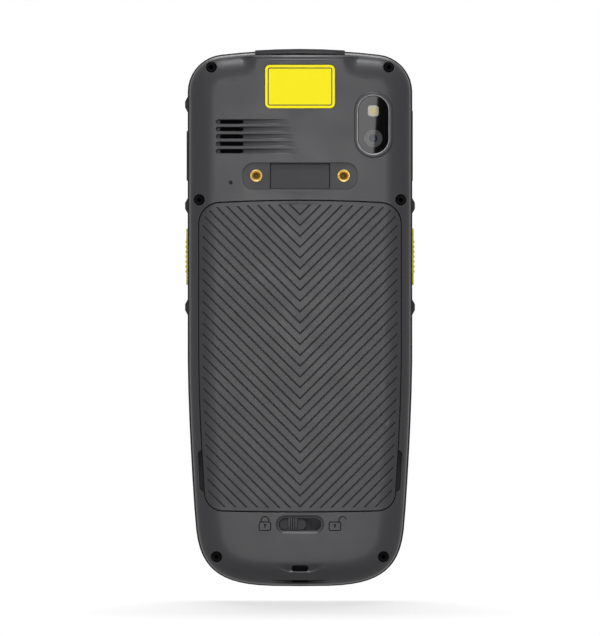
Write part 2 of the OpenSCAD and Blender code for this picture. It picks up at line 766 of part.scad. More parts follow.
// The spring contacts at the top of the bay, with four blades
module battery_contacts() {
  color([0.1, 0.1, 0.1])
    block(-contacts_w / 2, contacts_w / 2, contacts_y0, bay_floor_y - touch_gap,
      bay_z1, bay_z1 + 2.8);
  color([0.85, 0.65, 0.3]) for (i = [0:3])
    block((i - 1.5) * 2.6 - 0.5, (i - 1.5) * 2.6 + 0.5, contacts_y0 + 0.5, bay_floor_y - 0.6,
      bay_z1 - battery_gap + 0.15, bay_z1 + more);
}

// The latch: a plate in the slot, its ribbed thumb block, a guide under the wall and the bolt
module latch_slider() {
  thumb_x = slider_x0 + slider_l / 2;
  ribs = 4;
  rib_pitch = thumb_w / ribs;
  color([0.17, 0.17, 0.18]) {
    plate(slider_x0 + slider_l / 2, latch_z, slider_l, slot_h - 2 * slide_gap,
      slot_h / 2 - slide_gap - 0.01, recess_y + 0.1, guide_y1);
    block(slider_x0 - guide_over, slider_x0 + slider_l + guide_over, guide_y0, guide_y1,
      latch_z - guide_h / 2, latch_z + guide_h / 2);
    block(thumb_x - thumb_w / 2, thumb_x + thumb_w / 2, recess_y - 0.4, recess_y + 0.2,
      latch_z - slot_h / 2 + slide_gap, latch_z + slot_h / 2 - slide_gap);
    block(thumb_x - thumb_w / 2, thumb_x + thumb_w / 2, recess_y - 0.4, recess_y - slide_gap,
      latch_z - slot_h / 2 - 0.3, latch_z + slot_h / 2 + 0.3);
    for (i = [0:ribs - 1])
      block(thumb_x - thumb_w / 2 + i * rib_pitch, thumb_x - thumb_w / 2 + (i + 0.6) * rib_pitch,
        recess_y - 0.7, recess_y - 0.3, latch_z - slot_h / 2 - 0.3, latch_z + slot_h / 2 + 0.3);
    block(bolt_x0, bolt_x0 + bolt_w, guide_y0, bolt_y1, latch_z + guide_h / 2 - 0.4, bolt_z1);
  }
}

module latch_spring() {
  color([0.7, 0.7, 0.72])
    block(-spring_post_x - spring_over, spring_post_x + spring_over,
      guide_y1 + slide_gap, guide_y1 + slide_gap + 0.3,
      latch_z - 2.2, latch_z + 2);
}

module front_form() {
  loft(outline, concat(
    [[0, part_y]],
    [for (i = [0:5])
      let (a = 18 * i) [front_roll_r * (1 - cos(a)), front_y - front_roll_r * (1 - sin(a))]]
  ));
}

// A bumper on the right side at the given height
module bumper(z) {
  top_l = 2;
  translate([side_wall_x, 0, z]) prism([
    [-0.6, -bump_l / 2 - 0.3], [0, -bump_l / 2], [bump_h, -top_l / 2],
    [bump_h, top_l / 2], [0, bump_l / 2], [-0.6, bump_l / 2 + 0.3]
  ], part_y + 0.6, front_y - front_roll_r);
}

// A window through the right side wall, for a key of the given length
module side_window(z, length) {
  translate([0, side_key_y, z]) rotate([90, 0, 90])
    translate([0, 0, inner_side_x - more]) linear_extrude(wall + 2 * more)
      polygon(rounded(side_key_t + 2 * side_gap, length + 2 * side_gap, 1.6));
}

module front_housing() {
  bump_z = cover_z1 - bump_drop;
  color(shell_grey) difference() {
    union() {
      difference() {
        front_form();
        difference() {
          prism(inset(outline, wall), part_y - more, inner_front_y);
          at_screws() post(0, 0, boss_r, part_y - 2 * more, front_y);
        }
      }
      for (i = [-1, 0]) mirrored() bumper(bump_z + i * bump_pitch);
      mirror([1, 0, 0]) bumper(bump_z + bump_pitch);
    }
    prism(inset(outline, front_roll_r + rim_flat), field_y, front_y + more);
    plate(0, glass_z, glass_w + 0.2, glass_l + 0.2, 3.1, shelf_y, field_y + more);
    plate(0, glass_z, display_w + 0.6, display_l + 0.6, 1, inner_front_y - more, field_y);
    for (k = KEYS)
      plate(k[1], k[2], k[3] + 2 * key_gap, k[4] + 2 * key_gap, 1.6 + key_gap,
        inner_front_y - more, field_y + more);
    plate(0, earpiece_z, 10, 1.4, 0.69, inner_front_y - more, field_y + more);
    post(light_x, earpiece_z, light_r + 0.05, inner_front_y - more, field_y + more);
    side_window(scan_key_z, scan_key_l);
    mirror([1, 0, 0]) side_window(scan_key_z, scan_key_l);
    mirror([1, 0, 0]) side_window(volume_key_z, volume_key_l);
    translate([side_wall_x - flap_t + flap_proud - side_gap, 0, 0]) flap_shape(side_gap, 2 * flap_t);
    socket_passage();
    at_screws() post(0, 0, screw_r + 0.05, part_y - more, part_y + 5.2);
    difference() {
      prism(inset(rear_outline, 0.3), part_y - more, part_y + seal_groove_d);
      prism(inset(rear_outline, 0.95), part_y - 2 * more, part_y + more);
    }
  }
}

// The way through the side wall for a plug
module socket_passage() {
  room = 0.3;
  block(inner_side_x - more, side_wall_x,
    side_key_y - socket_t / 2 - room, side_key_y + socket_t / 2 + room,
    socket_z - socket_w / 2 - room, socket_z + socket_w / 2 + room);
}

module housing_gasket() {
  color([0.05, 0.05, 0.05]) difference() {
    prism(inset(rear_outline, 0.35), part_y, part_y + seal_groove_d - 0.05);
    prism(inset(rear_outline, 0.9), part_y - more, part_y + more);
  }
}

// One screw: a head with a six-sided socket, and a shank
module housing_screws() {
  head_h = 1.4;
  color([0.06, 0.06, 0.06]) at_screws() difference() {
    union() {
      post(0, 0, well_r - 0.15, head_y - head_h, head_y);
      post(0, 0, screw_r, head_y - 0.2, part_y + 4.8);
    }
    translate([0, head_y - 0.5, 0]) rotate([90, 0, 0]) cylinder(r = 0.9, h = head_h, $fn = 6);
  }
}

// Top end: the scan window, which follows the arched edge, and the engine behind it

function arch_at(x) = arch_z + sqrt(top_arch_r * top_arch_r - x * x);
function band(half, t, top) = concat(
  [for (i = [-4:4]) [half * i / 4, arch_at(half * i / 4) - t]],
  [for (i = [4:-1:-4]) [half * i / 4, arch_at(half * i / 4) + top]]
);

module window_pocket() {
  prism(band(window_w / 2 + touch_gap, window_t + touch_gap, more),
    window_y0 - touch_gap, part_y + more);
  block(-engine_half_w, engine_half_w, window_y0 + 0.7, window_y1 - 0.7, engine_z1 + rest_gap, body_l);
}

module scan_window() {
  color([0.12, 0.1, 0.13]) prism(band(window_w / 2, window_t, 0), window_y0, window_y1);
}

engine_z1 = body_l - 6.2;
engine_l = 12.6;
engine_half_w = 11;

module scan_engine() {
  engine_y0 = inner_back_y + 0.4;
  engine_y1 = part_y + can_gap - 0.4;
  color([0.1, 0.1, 0.1]) difference() {
    block(-engine_half_w, engine_half_w, engine_y0, engine_y1, engine_z1 - engine_l, engine_z1);
    for (side = [-1, 1])
      translate([side * engine_half_w / 2, (engine_y0 + engine_y1) / 2, engine_z1 - 2])
        cylinder(r = 2, h = 3, $fn = 48);
  }
}

module camera_window() {
  color([0.02, 0.02, 0.02])
    plate(camera_x, camera_z, camera_w, camera_h, camera_w / 2 - 0.01, back_y + 0.05, back_y + 0.85);
}

module camera_trim() {
  color([0.75, 0.75, 0.76]) difference() {
    plate(camera_x, camera_z, camera_w + 0.7, camera_h + 0.7, camera_w / 2 + 0.34,
      back_y, back_y + 0.85);
    plate(camera_x, camera_z, camera_w + 0.1, camera_h + 0.1, camera_w / 2 + 0.04,
      back_y - more, back_y + more);
  }
}

module camera_module() {
  lens_r = 1.4;
  base = 4.2;
  color([0.25, 0.25, 0.27]) {
    difference() {
      post(camera_x, lens_z, barrel_r, back_y + 1, inner_back_y + 1.2);
      post(camera_x, lens_z, lens_r + 0.1, back_y, back_y + 1.4);
    }
    post(camera_x, lens_z, lens_r, back_y + 1.2, back_y + 1.6);
    block(camera_x - base, camera_x + base, inner_back_y + rest_gap, inner_back_y + 4,
      lens_z - base, lens_z + base);
  }
}

module flash_lens() {
  color([0.95, 0.93, 0.75])
    plate(camera_x, flash_z, flash_w, flash_w, 0.9, back_y + 0.95, inner_back_y + 0.6);
}

module speaker() {
  color([0.1, 0.1, 0.1])
    block(-speaker_x - speaker_slot_l / 2 - 3.3, -speaker_x + speaker_slot_l / 2 + 3.3,
      inner_back_y + rest_gap, inner_back_y + 3.6,
      speaker_z - slots_half_h - 2.4, speaker_z + slots_half_h + 2.4);
}

module speaker_mesh() {
  color([0.02, 0.02, 0.02])
    block(-speaker_x - speaker_slot_l / 2 - 1, -speaker_x + speaker_slot_l / 2 + 1,
      inner_back_y, inner_back_y + slide_gap,
      speaker_z - slots_half_h - 1.6, speaker_z + slots_half_h + 1.6);
}

module microphone() {
  color([0.7, 0.7, 0.5])
    block(mic_x - 1.9, mic_x + 1.9, inner_back_y, inner_back_y + 1.1, mic_z - 1.4, mic_z + 1.5);
}

module vibration_motor() {
  motor_z = (strap_z1 + strap_back + engine_z1 - engine_l) / 2;
  color([0.7, 0.7, 0.7]) post(0, motor_z, 4.5, inner_back_y, inner_back_y + 2.8);
}

module antenna() {
  color([0.75, 0.5, 0.2]) block(side_wall_x - 24.5, side_wall_x - 12, inner_back_y, inner_back_y + 0.2,
    body_l - 14, body_l - 9.5);
}

module strap_inserts() {
  color([0.72, 0.56, 0.28]) for (side = [-1, 1])
    difference() {
      post(side * strap_pitch / 2, strap_insert_z, insert_r - 0.01, insert_y0 - 0.2, insert_y1);
      post(side * strap_pitch / 2, strap_insert_z, insert_bore_r, insert_y0 - more, insert_y1 + more);
      translate([side * strap_pitch / 2, insert_y0 - 0.2, strap_insert_z]) rotate([-90, 0, 0])
        cylinder(r1 = insert_r - 0.15, r2 = insert_bore_r, h = 0.8, $fn = 48);
    }
}

module label_plate() {
  color([0.98, 0.93, 0.1]) plate(0, label_z, label_w, label_h, 1.7, back_y + 0.05, back_y + label_d);
}

// The yellow key on the right: a cap with grip ribs, and a flange behind the wall
module scan_key() {
  ribs = 7;
  rib_pitch = 1.65;
  rib_w = 0.8;
  outer_x = side_wall_x + scan_key_proud;
  color([0.86, 0.78, 0.12]) {
    translate([0, side_key_y, scan_key_z]) rotate([90, 0, 90]) {
      translate([0, 0, inner_side_x - 0.6]) linear_extrude(outer_x - inner_side_x + 0.6)
        polygon(rounded(side_key_t, scan_key_l, 1.4));
      translate([0, 0, inner_side_x - rest_gap - flange_t]) linear_extrude(flange_t)
        polygon(rounded(side_key_t, scan_key_l + 2, 1.4));
    }
    for (i = [0:ribs - 1]) {
      z = scan_key_z + (i - (ribs - 1) / 2) * rib_pitch;
      block(outer_x - 0.2, outer_x + grip_rib_h, side_key_y - side_key_t / 2 + 0.5,
        side_key_y + side_key_t / 2 - 0.5, z - rib_w / 2, z + rib_w / 2);
    }
  }
}

module scan_key_right() {
  scan_key();
}

module scan_key_left() {
  mirror([1, 0, 0]) scan_key();
}

// The volume key on the left rocks about its middle, so its flange leaves room behind the wall
module volume_key() {
  color([0.12, 0.12, 0.13]) mirror([1, 0, 0])
    translate([0, side_key_y, volume_key_z]) rotate([90, 0, 90]) {
      translate([0, 0, inner_side_x - 0.9])
        linear_extrude(side_wall_x + volume_key_proud - inner_side_x + 0.9)
          polygon(rounded(side_key_t, volume_key_l, 1.4));
      translate([0, 0, inner_side_x - 1.4]) linear_extrude(0.9)
        polygon(rounded(side_key_t, volume_key_l + 1.2, 1.4));
    }
}

// The flap's outline on the right side, grown by a gap and extruded outwards from X = 0
module flap_shape(gap, thickness) {
  translate([0, side_key_y, flap_z0 + flap_l / 2]) rotate([90, 0, 90]) linear_extrude(thickness)
    polygon(rounded(side_key_t + 2 * gap, flap_l + 2 * gap, 1.2 + gap));
}

module port_flap() {
  flap_x0 = side_wall_x + flap_proud - flap_t;
  color([0.1, 0.1, 0.11]) {
    translate([flap_x0, 0, 0]) flap_shape(0, flap_t);
    block(flap_x0 - 0.5, flap_x0 + 0.2,
      side_key_y - socket_t / 2 + 0.4, side_key_y + socket_t / 2 - 0.4,
      socket_z - socket_w / 2 + 0.6, socket_z + socket_w / 2 - 0.6);
  }
}

module usb_socket() {
  shell = 0.35;
  x0 = socket_x0;
  x1 = socket_x1;
  color([0.75, 0.75, 0.77]) {
    difference() {
      block(x0, x1, side_key_y - socket_t / 2, side_key_y + socket_t / 2,
        socket_z - socket_w / 2, socket_z + socket_w / 2);
      block(x0 + 1, x1 + more,
        side_key_y - socket_t / 2 + shell, side_key_y + socket_t / 2 - shell,
        socket_z - socket_w / 2 + shell, socket_z + socket_w / 2 - shell);
    }
    block(x0 + 0.5, x1 - 1, side_key_y - 0.35, side_key_y + 0.35,
      socket_z - 3.2, socket_z + 3.2);
  }
}

// Switches at the board's edge behind the side keys
module side_switches() {
  volume_switch_pitch = 11;
  color([0.5, 0.5, 0.5]) {
    for (side = [-1, 1]) side_switch(side, scan_key_z);
    for (i = [-1, 1]) side_switch(-1, volume_key_z + i * volume_switch_pitch / 2);
  }
}

module side_switch(side, z) {
  x0 = board_half_w + rest_gap;
  translate([0, 0, z]) on_side(side) {
    block(x0, switch_x - 0.5, board_y - 0.6, board_y + board_t + 0.6, -2, 2);
    block(switch_x - 0.6, switch_x, board_y - 0.1, board_y + board_t + 0.1, -1, 1);
  }
}

module on_side(side) {
  if (side > 0) children();
  else mirror([1, 0, 0]) children();
}

// Front pieces

module display_glass() {
  color([0.03, 0.03, 0.04]) plate(0, glass_z, glass_w, glass_l, 3, shelf_y, field_y);
}

module display_module() {
  color([0.15, 0.16, 0.2])
    plate(0, glass_z, display_w, display_l, 0.8, shelf_y - touch_gap - display_t, shelf_y - touch_gap);
}

module main_board() {
  color([0.05, 0.3, 0.15]) difference() {
    block(-board_half_w, board_half_w, board_y, board_y + board_t, main_board_z0, main_board_z1);
    block(socket_x0 - 0.5, board_half_w + more, board_y - more, board_y + 2 * more,
      socket_z - socket_w / 2 - 0.4, socket_z + socket_w / 2 + 0.4);
  }
}

module shield_cans() {
  cans = 3;
  can_space = 2;
  first_can_rise = 5;
  z0 = main_board_z0 + first_can_rise;
  pitch = (main_board_z1 - main_board_z0) / 6;
  color([0.7, 0.7, 0.72]) for (i = [0:cans - 1])
    block(-board_half_w + 8.5, board_half_w / 4, board_y - can_h, board_y,
      z0 + i * pitch, z0 + (i + 1) * pitch - can_space);
}

module keypad_board() {
  color([0.05, 0.3, 0.15])
    plate(0, (keypad_board_z0 + keypad_board_z1) / 2, 2 * board_half_w - 5,
      keypad_board_z1 - keypad_board_z0, 4, board_y, board_y + board_t);
}

// The silicone mat, with a plunger under each key
module keypad_mat() {
  mat_y = board_y + board_t + 0.05;
  color([0.8, 0.8, 0.8]) {
    plate(0, (keypad_board_z0 + keypad_board_z1) / 2, 2 * board_half_w - 6,
      keypad_board_z1 - keypad_board_z0 - 1, 3.5, mat_y, mat_y + 0.35);
    for (k = KEYS) post(k[1], k[2], 2.2, mat_y, key_floor_y - key_travel - slide_gap);
  }
}

earpiece_z = body_l - 7.4;
light_x = 12;
light_r = 1;

module earpiece() {
  color([0.15, 0.15, 0.15])
    block(-6.5, 6.5, inner_front_y - 3.3, inner_front_y - 0.3, earpiece_z - 2.2, earpiece_z + 2.2);
}

module earpiece_mesh() {
  color([0.02, 0.02, 0.02])
    block(-6, 6, inner_front_y - 0.25, inner_front_y, earpiece_z - 1.5, earpiece_z + 1.5);
}

module status_light() {
  color([0.85, 0.95, 0.9]) post(light_x, earpiece_z, light_r, inner_front_y - 1.5, field_y);
}

// The keys, each as [name, x, z, width, height]. Seen from the front, +X is on the left.
KEYS = concat(
  [for (r = [0:rows - 1]) for (c = [0:cols - 1])
    [key_names[r][c], ((cols - 1) / 2 - c) * col_pitch, first_row_z + r * row_pitch, key_w, key_h]],
  [["key_scan", 0, top_row_z, wide_key_w, top_key_h],
    ["key_back", 1.5 * col_pitch, top_row_z, key_w, key_h],
    ["key_menu", -1.5 * col_pitch, top_row_z, key_w, key_h]]
);

// A key cap with a bevelled top and the flange that keeps it in
module key_cap(x, z, w, h) {
  bevel = 0.3;
  top_y = field_y + key_proud;
  plate(x, z, w, h, 1.6, key_floor_y, top_y - bevel);
  plate(x, z, w - 2 * bevel, h - 2 * bevel, 1.3, key_floor_y, top_y);
  plate(x, z, w + 2 * key_flange, h + 2 * key_flange, 1.6, key_floor_y, key_floor_y + 0.7);
}

rear_housing();
front_housing();
battery_cover();
latch_slider();
scan_key_left();
scan_key_right();
volume_key();
port_flap();
housing_gasket();
housing_screws();
cover_gasket();
battery_pack();
battery_contacts();
latch_spring();
scan_window();
scan_engine();
camera_window();
camera_trim();
camera_module();
flash_lens();
speaker();
speaker_mesh();
microphone();
vibration_motor();
antenna();
strap_inserts();
label_plate();
usb_socket();
side_switches();
display_glass();
display_module();
main_board();
shield_cans();
keypad_board();
keypad_mat();
earpiece();
earpiece_mesh();
status_light();
for (k = KEYS)
  color(k[0] == "key_scan" ? [0.86, 0.78, 0.12] : [0.3, 0.3, 0.32]) key_cap(k[1], k[2], k[3], k[4]);
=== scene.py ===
"""A portable barcode data terminal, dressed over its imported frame.

X runs across the body, Z up its length and Y through its thickness, with the back towards -Y.
Sizes are in millimetres until a mesh is made. A moulded face is worked out as a height over the
XZ plane: how far it stands out from the parting plane, where the rear and front housings meet.
"""
import json
import math

import bmesh
import bpy
import numpy as np
from bpy.props import FloatProperty, FloatVectorProperty, PointerProperty
from mathutils import Matrix, Vector
from mathutils.geometry import convex_hull_2d, delaunay_2d_cdt

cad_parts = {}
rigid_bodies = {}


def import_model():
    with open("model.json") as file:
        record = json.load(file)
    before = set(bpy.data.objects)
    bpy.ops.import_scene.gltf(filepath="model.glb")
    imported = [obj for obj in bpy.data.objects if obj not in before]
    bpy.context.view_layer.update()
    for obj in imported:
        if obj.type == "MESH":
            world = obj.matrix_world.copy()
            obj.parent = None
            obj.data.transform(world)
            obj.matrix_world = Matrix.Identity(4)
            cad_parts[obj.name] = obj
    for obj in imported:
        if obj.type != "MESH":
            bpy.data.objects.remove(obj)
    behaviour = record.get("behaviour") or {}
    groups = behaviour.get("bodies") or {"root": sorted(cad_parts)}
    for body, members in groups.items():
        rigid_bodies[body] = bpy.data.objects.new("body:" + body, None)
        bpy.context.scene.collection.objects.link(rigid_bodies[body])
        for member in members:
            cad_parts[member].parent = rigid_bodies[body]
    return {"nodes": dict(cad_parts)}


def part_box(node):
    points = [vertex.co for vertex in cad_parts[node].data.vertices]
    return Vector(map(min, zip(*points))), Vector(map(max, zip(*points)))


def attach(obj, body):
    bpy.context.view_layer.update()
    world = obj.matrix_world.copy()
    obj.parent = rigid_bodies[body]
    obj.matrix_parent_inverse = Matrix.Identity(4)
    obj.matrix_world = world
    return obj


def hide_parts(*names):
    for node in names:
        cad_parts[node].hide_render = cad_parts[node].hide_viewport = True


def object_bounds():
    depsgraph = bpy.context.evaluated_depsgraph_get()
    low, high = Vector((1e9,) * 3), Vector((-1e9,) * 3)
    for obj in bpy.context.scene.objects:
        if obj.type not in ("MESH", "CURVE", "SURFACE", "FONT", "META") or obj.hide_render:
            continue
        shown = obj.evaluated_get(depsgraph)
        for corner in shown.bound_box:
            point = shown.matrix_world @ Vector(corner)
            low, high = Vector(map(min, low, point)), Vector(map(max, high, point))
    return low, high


bl_info = {
    "name": "Barcode data terminal",
    "version": (1, 0, 0),
    "blender": (4, 5, 0),
    "location": "View3D > Sidebar > Terminal",
    "description": "Builds and dresses a hand-held barcode data terminal",
    "category": "Add Mesh",
}

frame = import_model()
cad_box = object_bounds()
MM = 0.001


# Colours and sizes that a user may change

def from_hex(code):
    """An sRGB hex colour as linear red, green and blue."""
    parts = [int(code[i:i + 2], 16) / 255 for i in (1, 3, 5)]
    return tuple(c / 12.92 if c <= 0.04045 else ((c + 0.055) / 1.055) ** 2.4 for c in parts)


def colour(name, description, code):
    return FloatVectorProperty(name=name, description=description, subtype="COLOR", size=3,
                               min=0, max=1, default=from_hex(code))


def length(name, description, default, low, high):
    """A length in metres, given here in millimetres."""
    return FloatProperty(name=name, description=description, default=default * MM,
                         min=low * MM, max=high * MM, unit="LENGTH", precision=5)


class TerminalSizes(bpy.types.PropertyGroup):
    """Sizes of the moulded surfaces that a user may change"""
    crown: length("Crown", "How far the back falls away from its middle to its sides", 1.0, 0, 1.5)
    groove_depth: length("Groove depth", "Depth of the cover's herringbone grooves", 0.4, 0.2, 0.5)
    engraving: length("Engraving", "Depth of the padlock signs beside the latch", 0.15, 0.05, 0.3)
    legend: length("Legend height", "Height of the figures on the front keys", 4.2, 2, 5)


class TerminalColours(bpy.types.PropertyGroup):
    """Colours of the visible materials"""
    housing: colour("Housing", "Rear housing's plastic", "#28282b")
    cover: colour("Cover", "Battery cover's plastic", "#28282b")
    front: colour("Front housing", "Front housing's plastic", "#151516")
    latch: colour("Latch", "Latch slider's plastic", "#323235")
    yellow: colour("Scan keys", "Yellow rubber of the scan keys", "#c8be28")
    plate: colour("Plate", "Printed yellow film on the back", "#f8e91d")
    border: colour("Plate border", "Ink of the line round the yellow film", "#17153c")
    brass: colour("Brass", "Strap inserts", "#dcbc70")
    key: colour("Key caps", "Front keys", "#26272a")
    legend: colour("Legends", "Print on the front keys", "#e6e6e2")


def settings():
    scene = bpy.context.scene
    return scene.terminal_sizes, scene.terminal_colours


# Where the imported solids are

def cad_points(node):
    """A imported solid's corners in millimetres."""
    mesh = frame["nodes"][node].data
    flat = np.empty(len(mesh.vertices) * 3)
    mesh.vertices.foreach_get("co", flat)
    return flat.reshape(-1, 3) / MM


def cad_box_mm(node):
    """(lowest, highest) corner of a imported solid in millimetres."""
    low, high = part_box(node)
    return np.array(low) / MM, np.array(high) / MM


def middle(node):
    """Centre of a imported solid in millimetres."""
    return sum(cad_box_mm(node)) / 2


# Flat geometry, on arrays of [x, z]

def hull(points):
    """The convex outline of some [x, z] points, anticlockwise."""
    points = np.unique(np.round(points, 4), axis=0)
    ring = points[convex_hull_2d([Vector(p) for p in points])]
    after = np.roll(ring, -1, axis=0)
    area = (ring[:, 0] * after[:, 1] - after[:, 0] * ring[:, 1]).sum()
    return ring if area > 0 else ring[::-1]


def offset(ring, d):
    """An anticlockwise ring moved outwards by d, edge by edge."""
    if not d:
        return ring
    edges = (ring - np.roll(ring, 1, axis=0), np.roll(ring, -1, axis=0) - ring)
    a, b = (np.column_stack([e[:, 1], -e[:, 0]]) / np.linalg.norm(e, axis=1)[:, None] for e in edges)
    return ring + d * (a + b) / (1 + (a * b).sum(1))[:, None]


def distance(points, ring):
    """Signed distance of points to a closed ring, negative inside it."""
    least = np.full(len(points), np.inf)
    inside = np.zeros(len(points), bool)
    for a, b in zip(ring, np.roll(ring, -1, axis=0)):
        edge = b - a
        way = points - a
        along = np.clip((way @ edge) / (edge @ edge), 0, 1)
        np.minimum(least, ((way - along[:, None] * edge) ** 2).sum(1), out=least)
        if a[1] != b[1]:
            crosses = (a[1] > points[:, 1]) != (b[1] > points[:, 1])
            inside ^= crosses & (way[:, 0] < way[:, 1] * edge[0] / edge[1])
    return np.sqrt(least) * np.where(inside, -1, 1)


def near(points, ring, reach, function):
    """function(signed distance, which points) for the points within reach of a ring or inside it."""
    low, high = ring.min(0) - reach, ring.max(0) + reach
    which = np.flatnonzero(((points >= low) & (points <= high)).all(1))
    if len(which):
        function(distance(points[which], ring), which)


def rounded(x, z, w, h, r, steps=8):
    """A rectangle with round corners about a centre, anticlockwise."""
    r = min(r, w / 2 - 0.01, h / 2 - 0.01)
    ring = []
    for k, (sx, sz) in enumerate(((1, -1), (1, 1), (-1, 1), (-1, -1))):
        for i in range(steps + 1):
            a = math.radians(90 * (k - 1) + 90 * i / steps)
            ring.append((x + sx * (w / 2 - r) + r * math.cos(a),
                         z + sz * (h / 2 - r) + r * math.sin(a)))
    return np.array(ring)


def rounded_box(low, high, r, steps=8):
    """The same round the X and Z of a box's two corners."""
    x, z = (low[0] + high[0]) / 2, (low[2] + high[2]) / 2
    return rounded(x, z, high[0] - low[0], high[2] - low[2], r, steps)


def box_ring(x0, z0, x1, z1):
    return np.array([(x0, z0), (x1, z0), (x1, z1), (x0, z1)], float)


def circle(x, z, r, n=40):
    a = np.arange(n) * 2 * math.pi / n
    return np.column_stack([x + r * np.cos(a), z + r * np.sin(a)])


def arc(x, z, r, start, end, n=12):
    """Points on an arc, between two angles in degrees."""
    a = np.radians(np.linspace(start, end, n))
    return np.column_stack([x + r * np.cos(a), z + r * np.sin(a)])


def mirrored(ring):
    return np.column_stack([-ring[::-1, 0], ring[::-1, 1]])


def stroke(path, width):
    """The outline of a line of some width along a path, anticlockwise."""
    path = np.asarray(path, float)
    along = np.gradient(path, axis=0)
    out = np.column_stack([along[:, 1], -along[:, 0]]) / np.linalg.norm(along, axis=1)[:, None]
    return np.concatenate([path + out * width / 2, (path - out * width / 2)[::-1]])


def clipped(a, b, ring):
    """The part of a segment inside a convex anticlockwise ring, or None."""
    start, end = 0.0, 1.0
    for p, q in zip(ring, np.roll(ring, -1, axis=0)):
        normal = np.array([-(q - p)[1], (q - p)[0]])
        at_a, at_b = normal @ (a - p), normal @ (b - p)
        if at_a < 0 and at_b < 0:
            return None
        if at_a * at_b < 0:
            cut = at_a / (at_a - at_b)
            if at_a < 0:
                start = max(start, cut)
            else:
                end = min(end, cut)
    return (a + (b - a) * start, a + (b - a) * end) if end - start > 1e-6 else None


# Solids, each as (vertices in millimetres, faces, painted shade of each vertex)

def solid(points, faces, shade=None):
    points = np.asarray(points, float)
    return points, faces, np.ones(len(points)) if shade is None else shade


def joined(*solids):
    """Several solids as one."""
    faces, start = [], 0
    for points, loops, _ in solids:
        faces += [tuple(i + start for i in loop) for loop in loops]
        start += len(points)
    return np.concatenate([s[0] for s in solids]), faces, np.concatenate([s[2] for s in solids])


def moved(made_of, way):
    """A solid moved by [x, y, z]."""
    points, faces, shade = made_of
    return points + way, faces, shade


def block(low, high):
    xs, ys, zs = zip(low, high)
    sides = [(0, 2, 3, 1), (4, 5, 7, 6), (0, 1, 5, 4), (2, 6, 7, 3), (0, 4, 6, 2), (1, 3, 7, 5)]
    return solid([(x, y, z) for z in zs for y in ys for x in xs], sides)


def band(n, a, b):
    """Faces between two rows of n vertices, or between a row and a single vertex."""
    faces = []
    for i in range(n):
        j = (i + 1) % n
        loop = (a[i % len(a)], b[i % len(b)], b[j % len(b)], a[j % len(a)])
        faces.append(tuple(dict.fromkeys(loop)))
    return faces


def slab(ring, y0, y1):
    """A plate between two places in Y, from an anticlockwise ring."""
    n = len(ring)
    points = [(x, y, z) for y in (y0, y1) for x, z in ring]
    sides = band(n, range(n), range(n, 2 * n))
    return solid(points, [tuple(range(n)), tuple(range(2 * n - 1, n - 1, -1)), *sides])


def swept(ring, profile):
    """A frame that follows a ring. Its profile is a closed loop of [distance outwards, y]."""
    n = len(ring)
    points = [(x, y, z) for d, y in profile for x, z in offset(ring, d)]
    rows = [range(k * n, k * n + n) for k in range(len(profile))]
    return solid(points, [face for a, b in zip(rows, rows[1:] + rows[:1]) for face in band(n, a, b)])


def turned(profile, x, z, n=40):
    """A solid turned about an axis along Y, from [radius, y] steps between two points on the axis."""
    points, rows = [], []
    for r, y in profile:
        ring = circle(x, z, r, n) if r else [(x, z)]
        rows.append(range(len(points), len(points) + len(ring)))
        points += [(px, y, pz) for px, pz in ring]
    return solid(points, [face for a, b in zip(rows, rows[1:]) for face in band(n, a, b)])


WALL_DRAFT = 0.05    # width that an upright wall takes up, seen from outside
DARK_AT = 0.8        # depth at which a narrow cut has its full painted shade
THINNEST = 0.05      # least thickness of a shell
INSIDE_SHADE = 0.5   # painted shade of inner sides, which catch little light
BESIDE = 0.1         # distance to the mesh line that keeps an edge apart from the open face


def round_over(s, rim):
    """How far a quarter-round edge has fallen at a distance s from its foot."""
    return rim * (1 - np.sqrt(1 - np.clip((rim - s) / rim, 0, 1) ** 2))


def fall_in(t):
    """0 to 1, soft at both ends."""
    t = np.clip(t, 0, 1)
    return t * t * (3 - 2 * t)


def heights(level, points, *here):
    """Each point's height, from a number or from a function of the points and the height there."""
    return level(points, *here) if callable(level) else np.full(len(points), float(level))


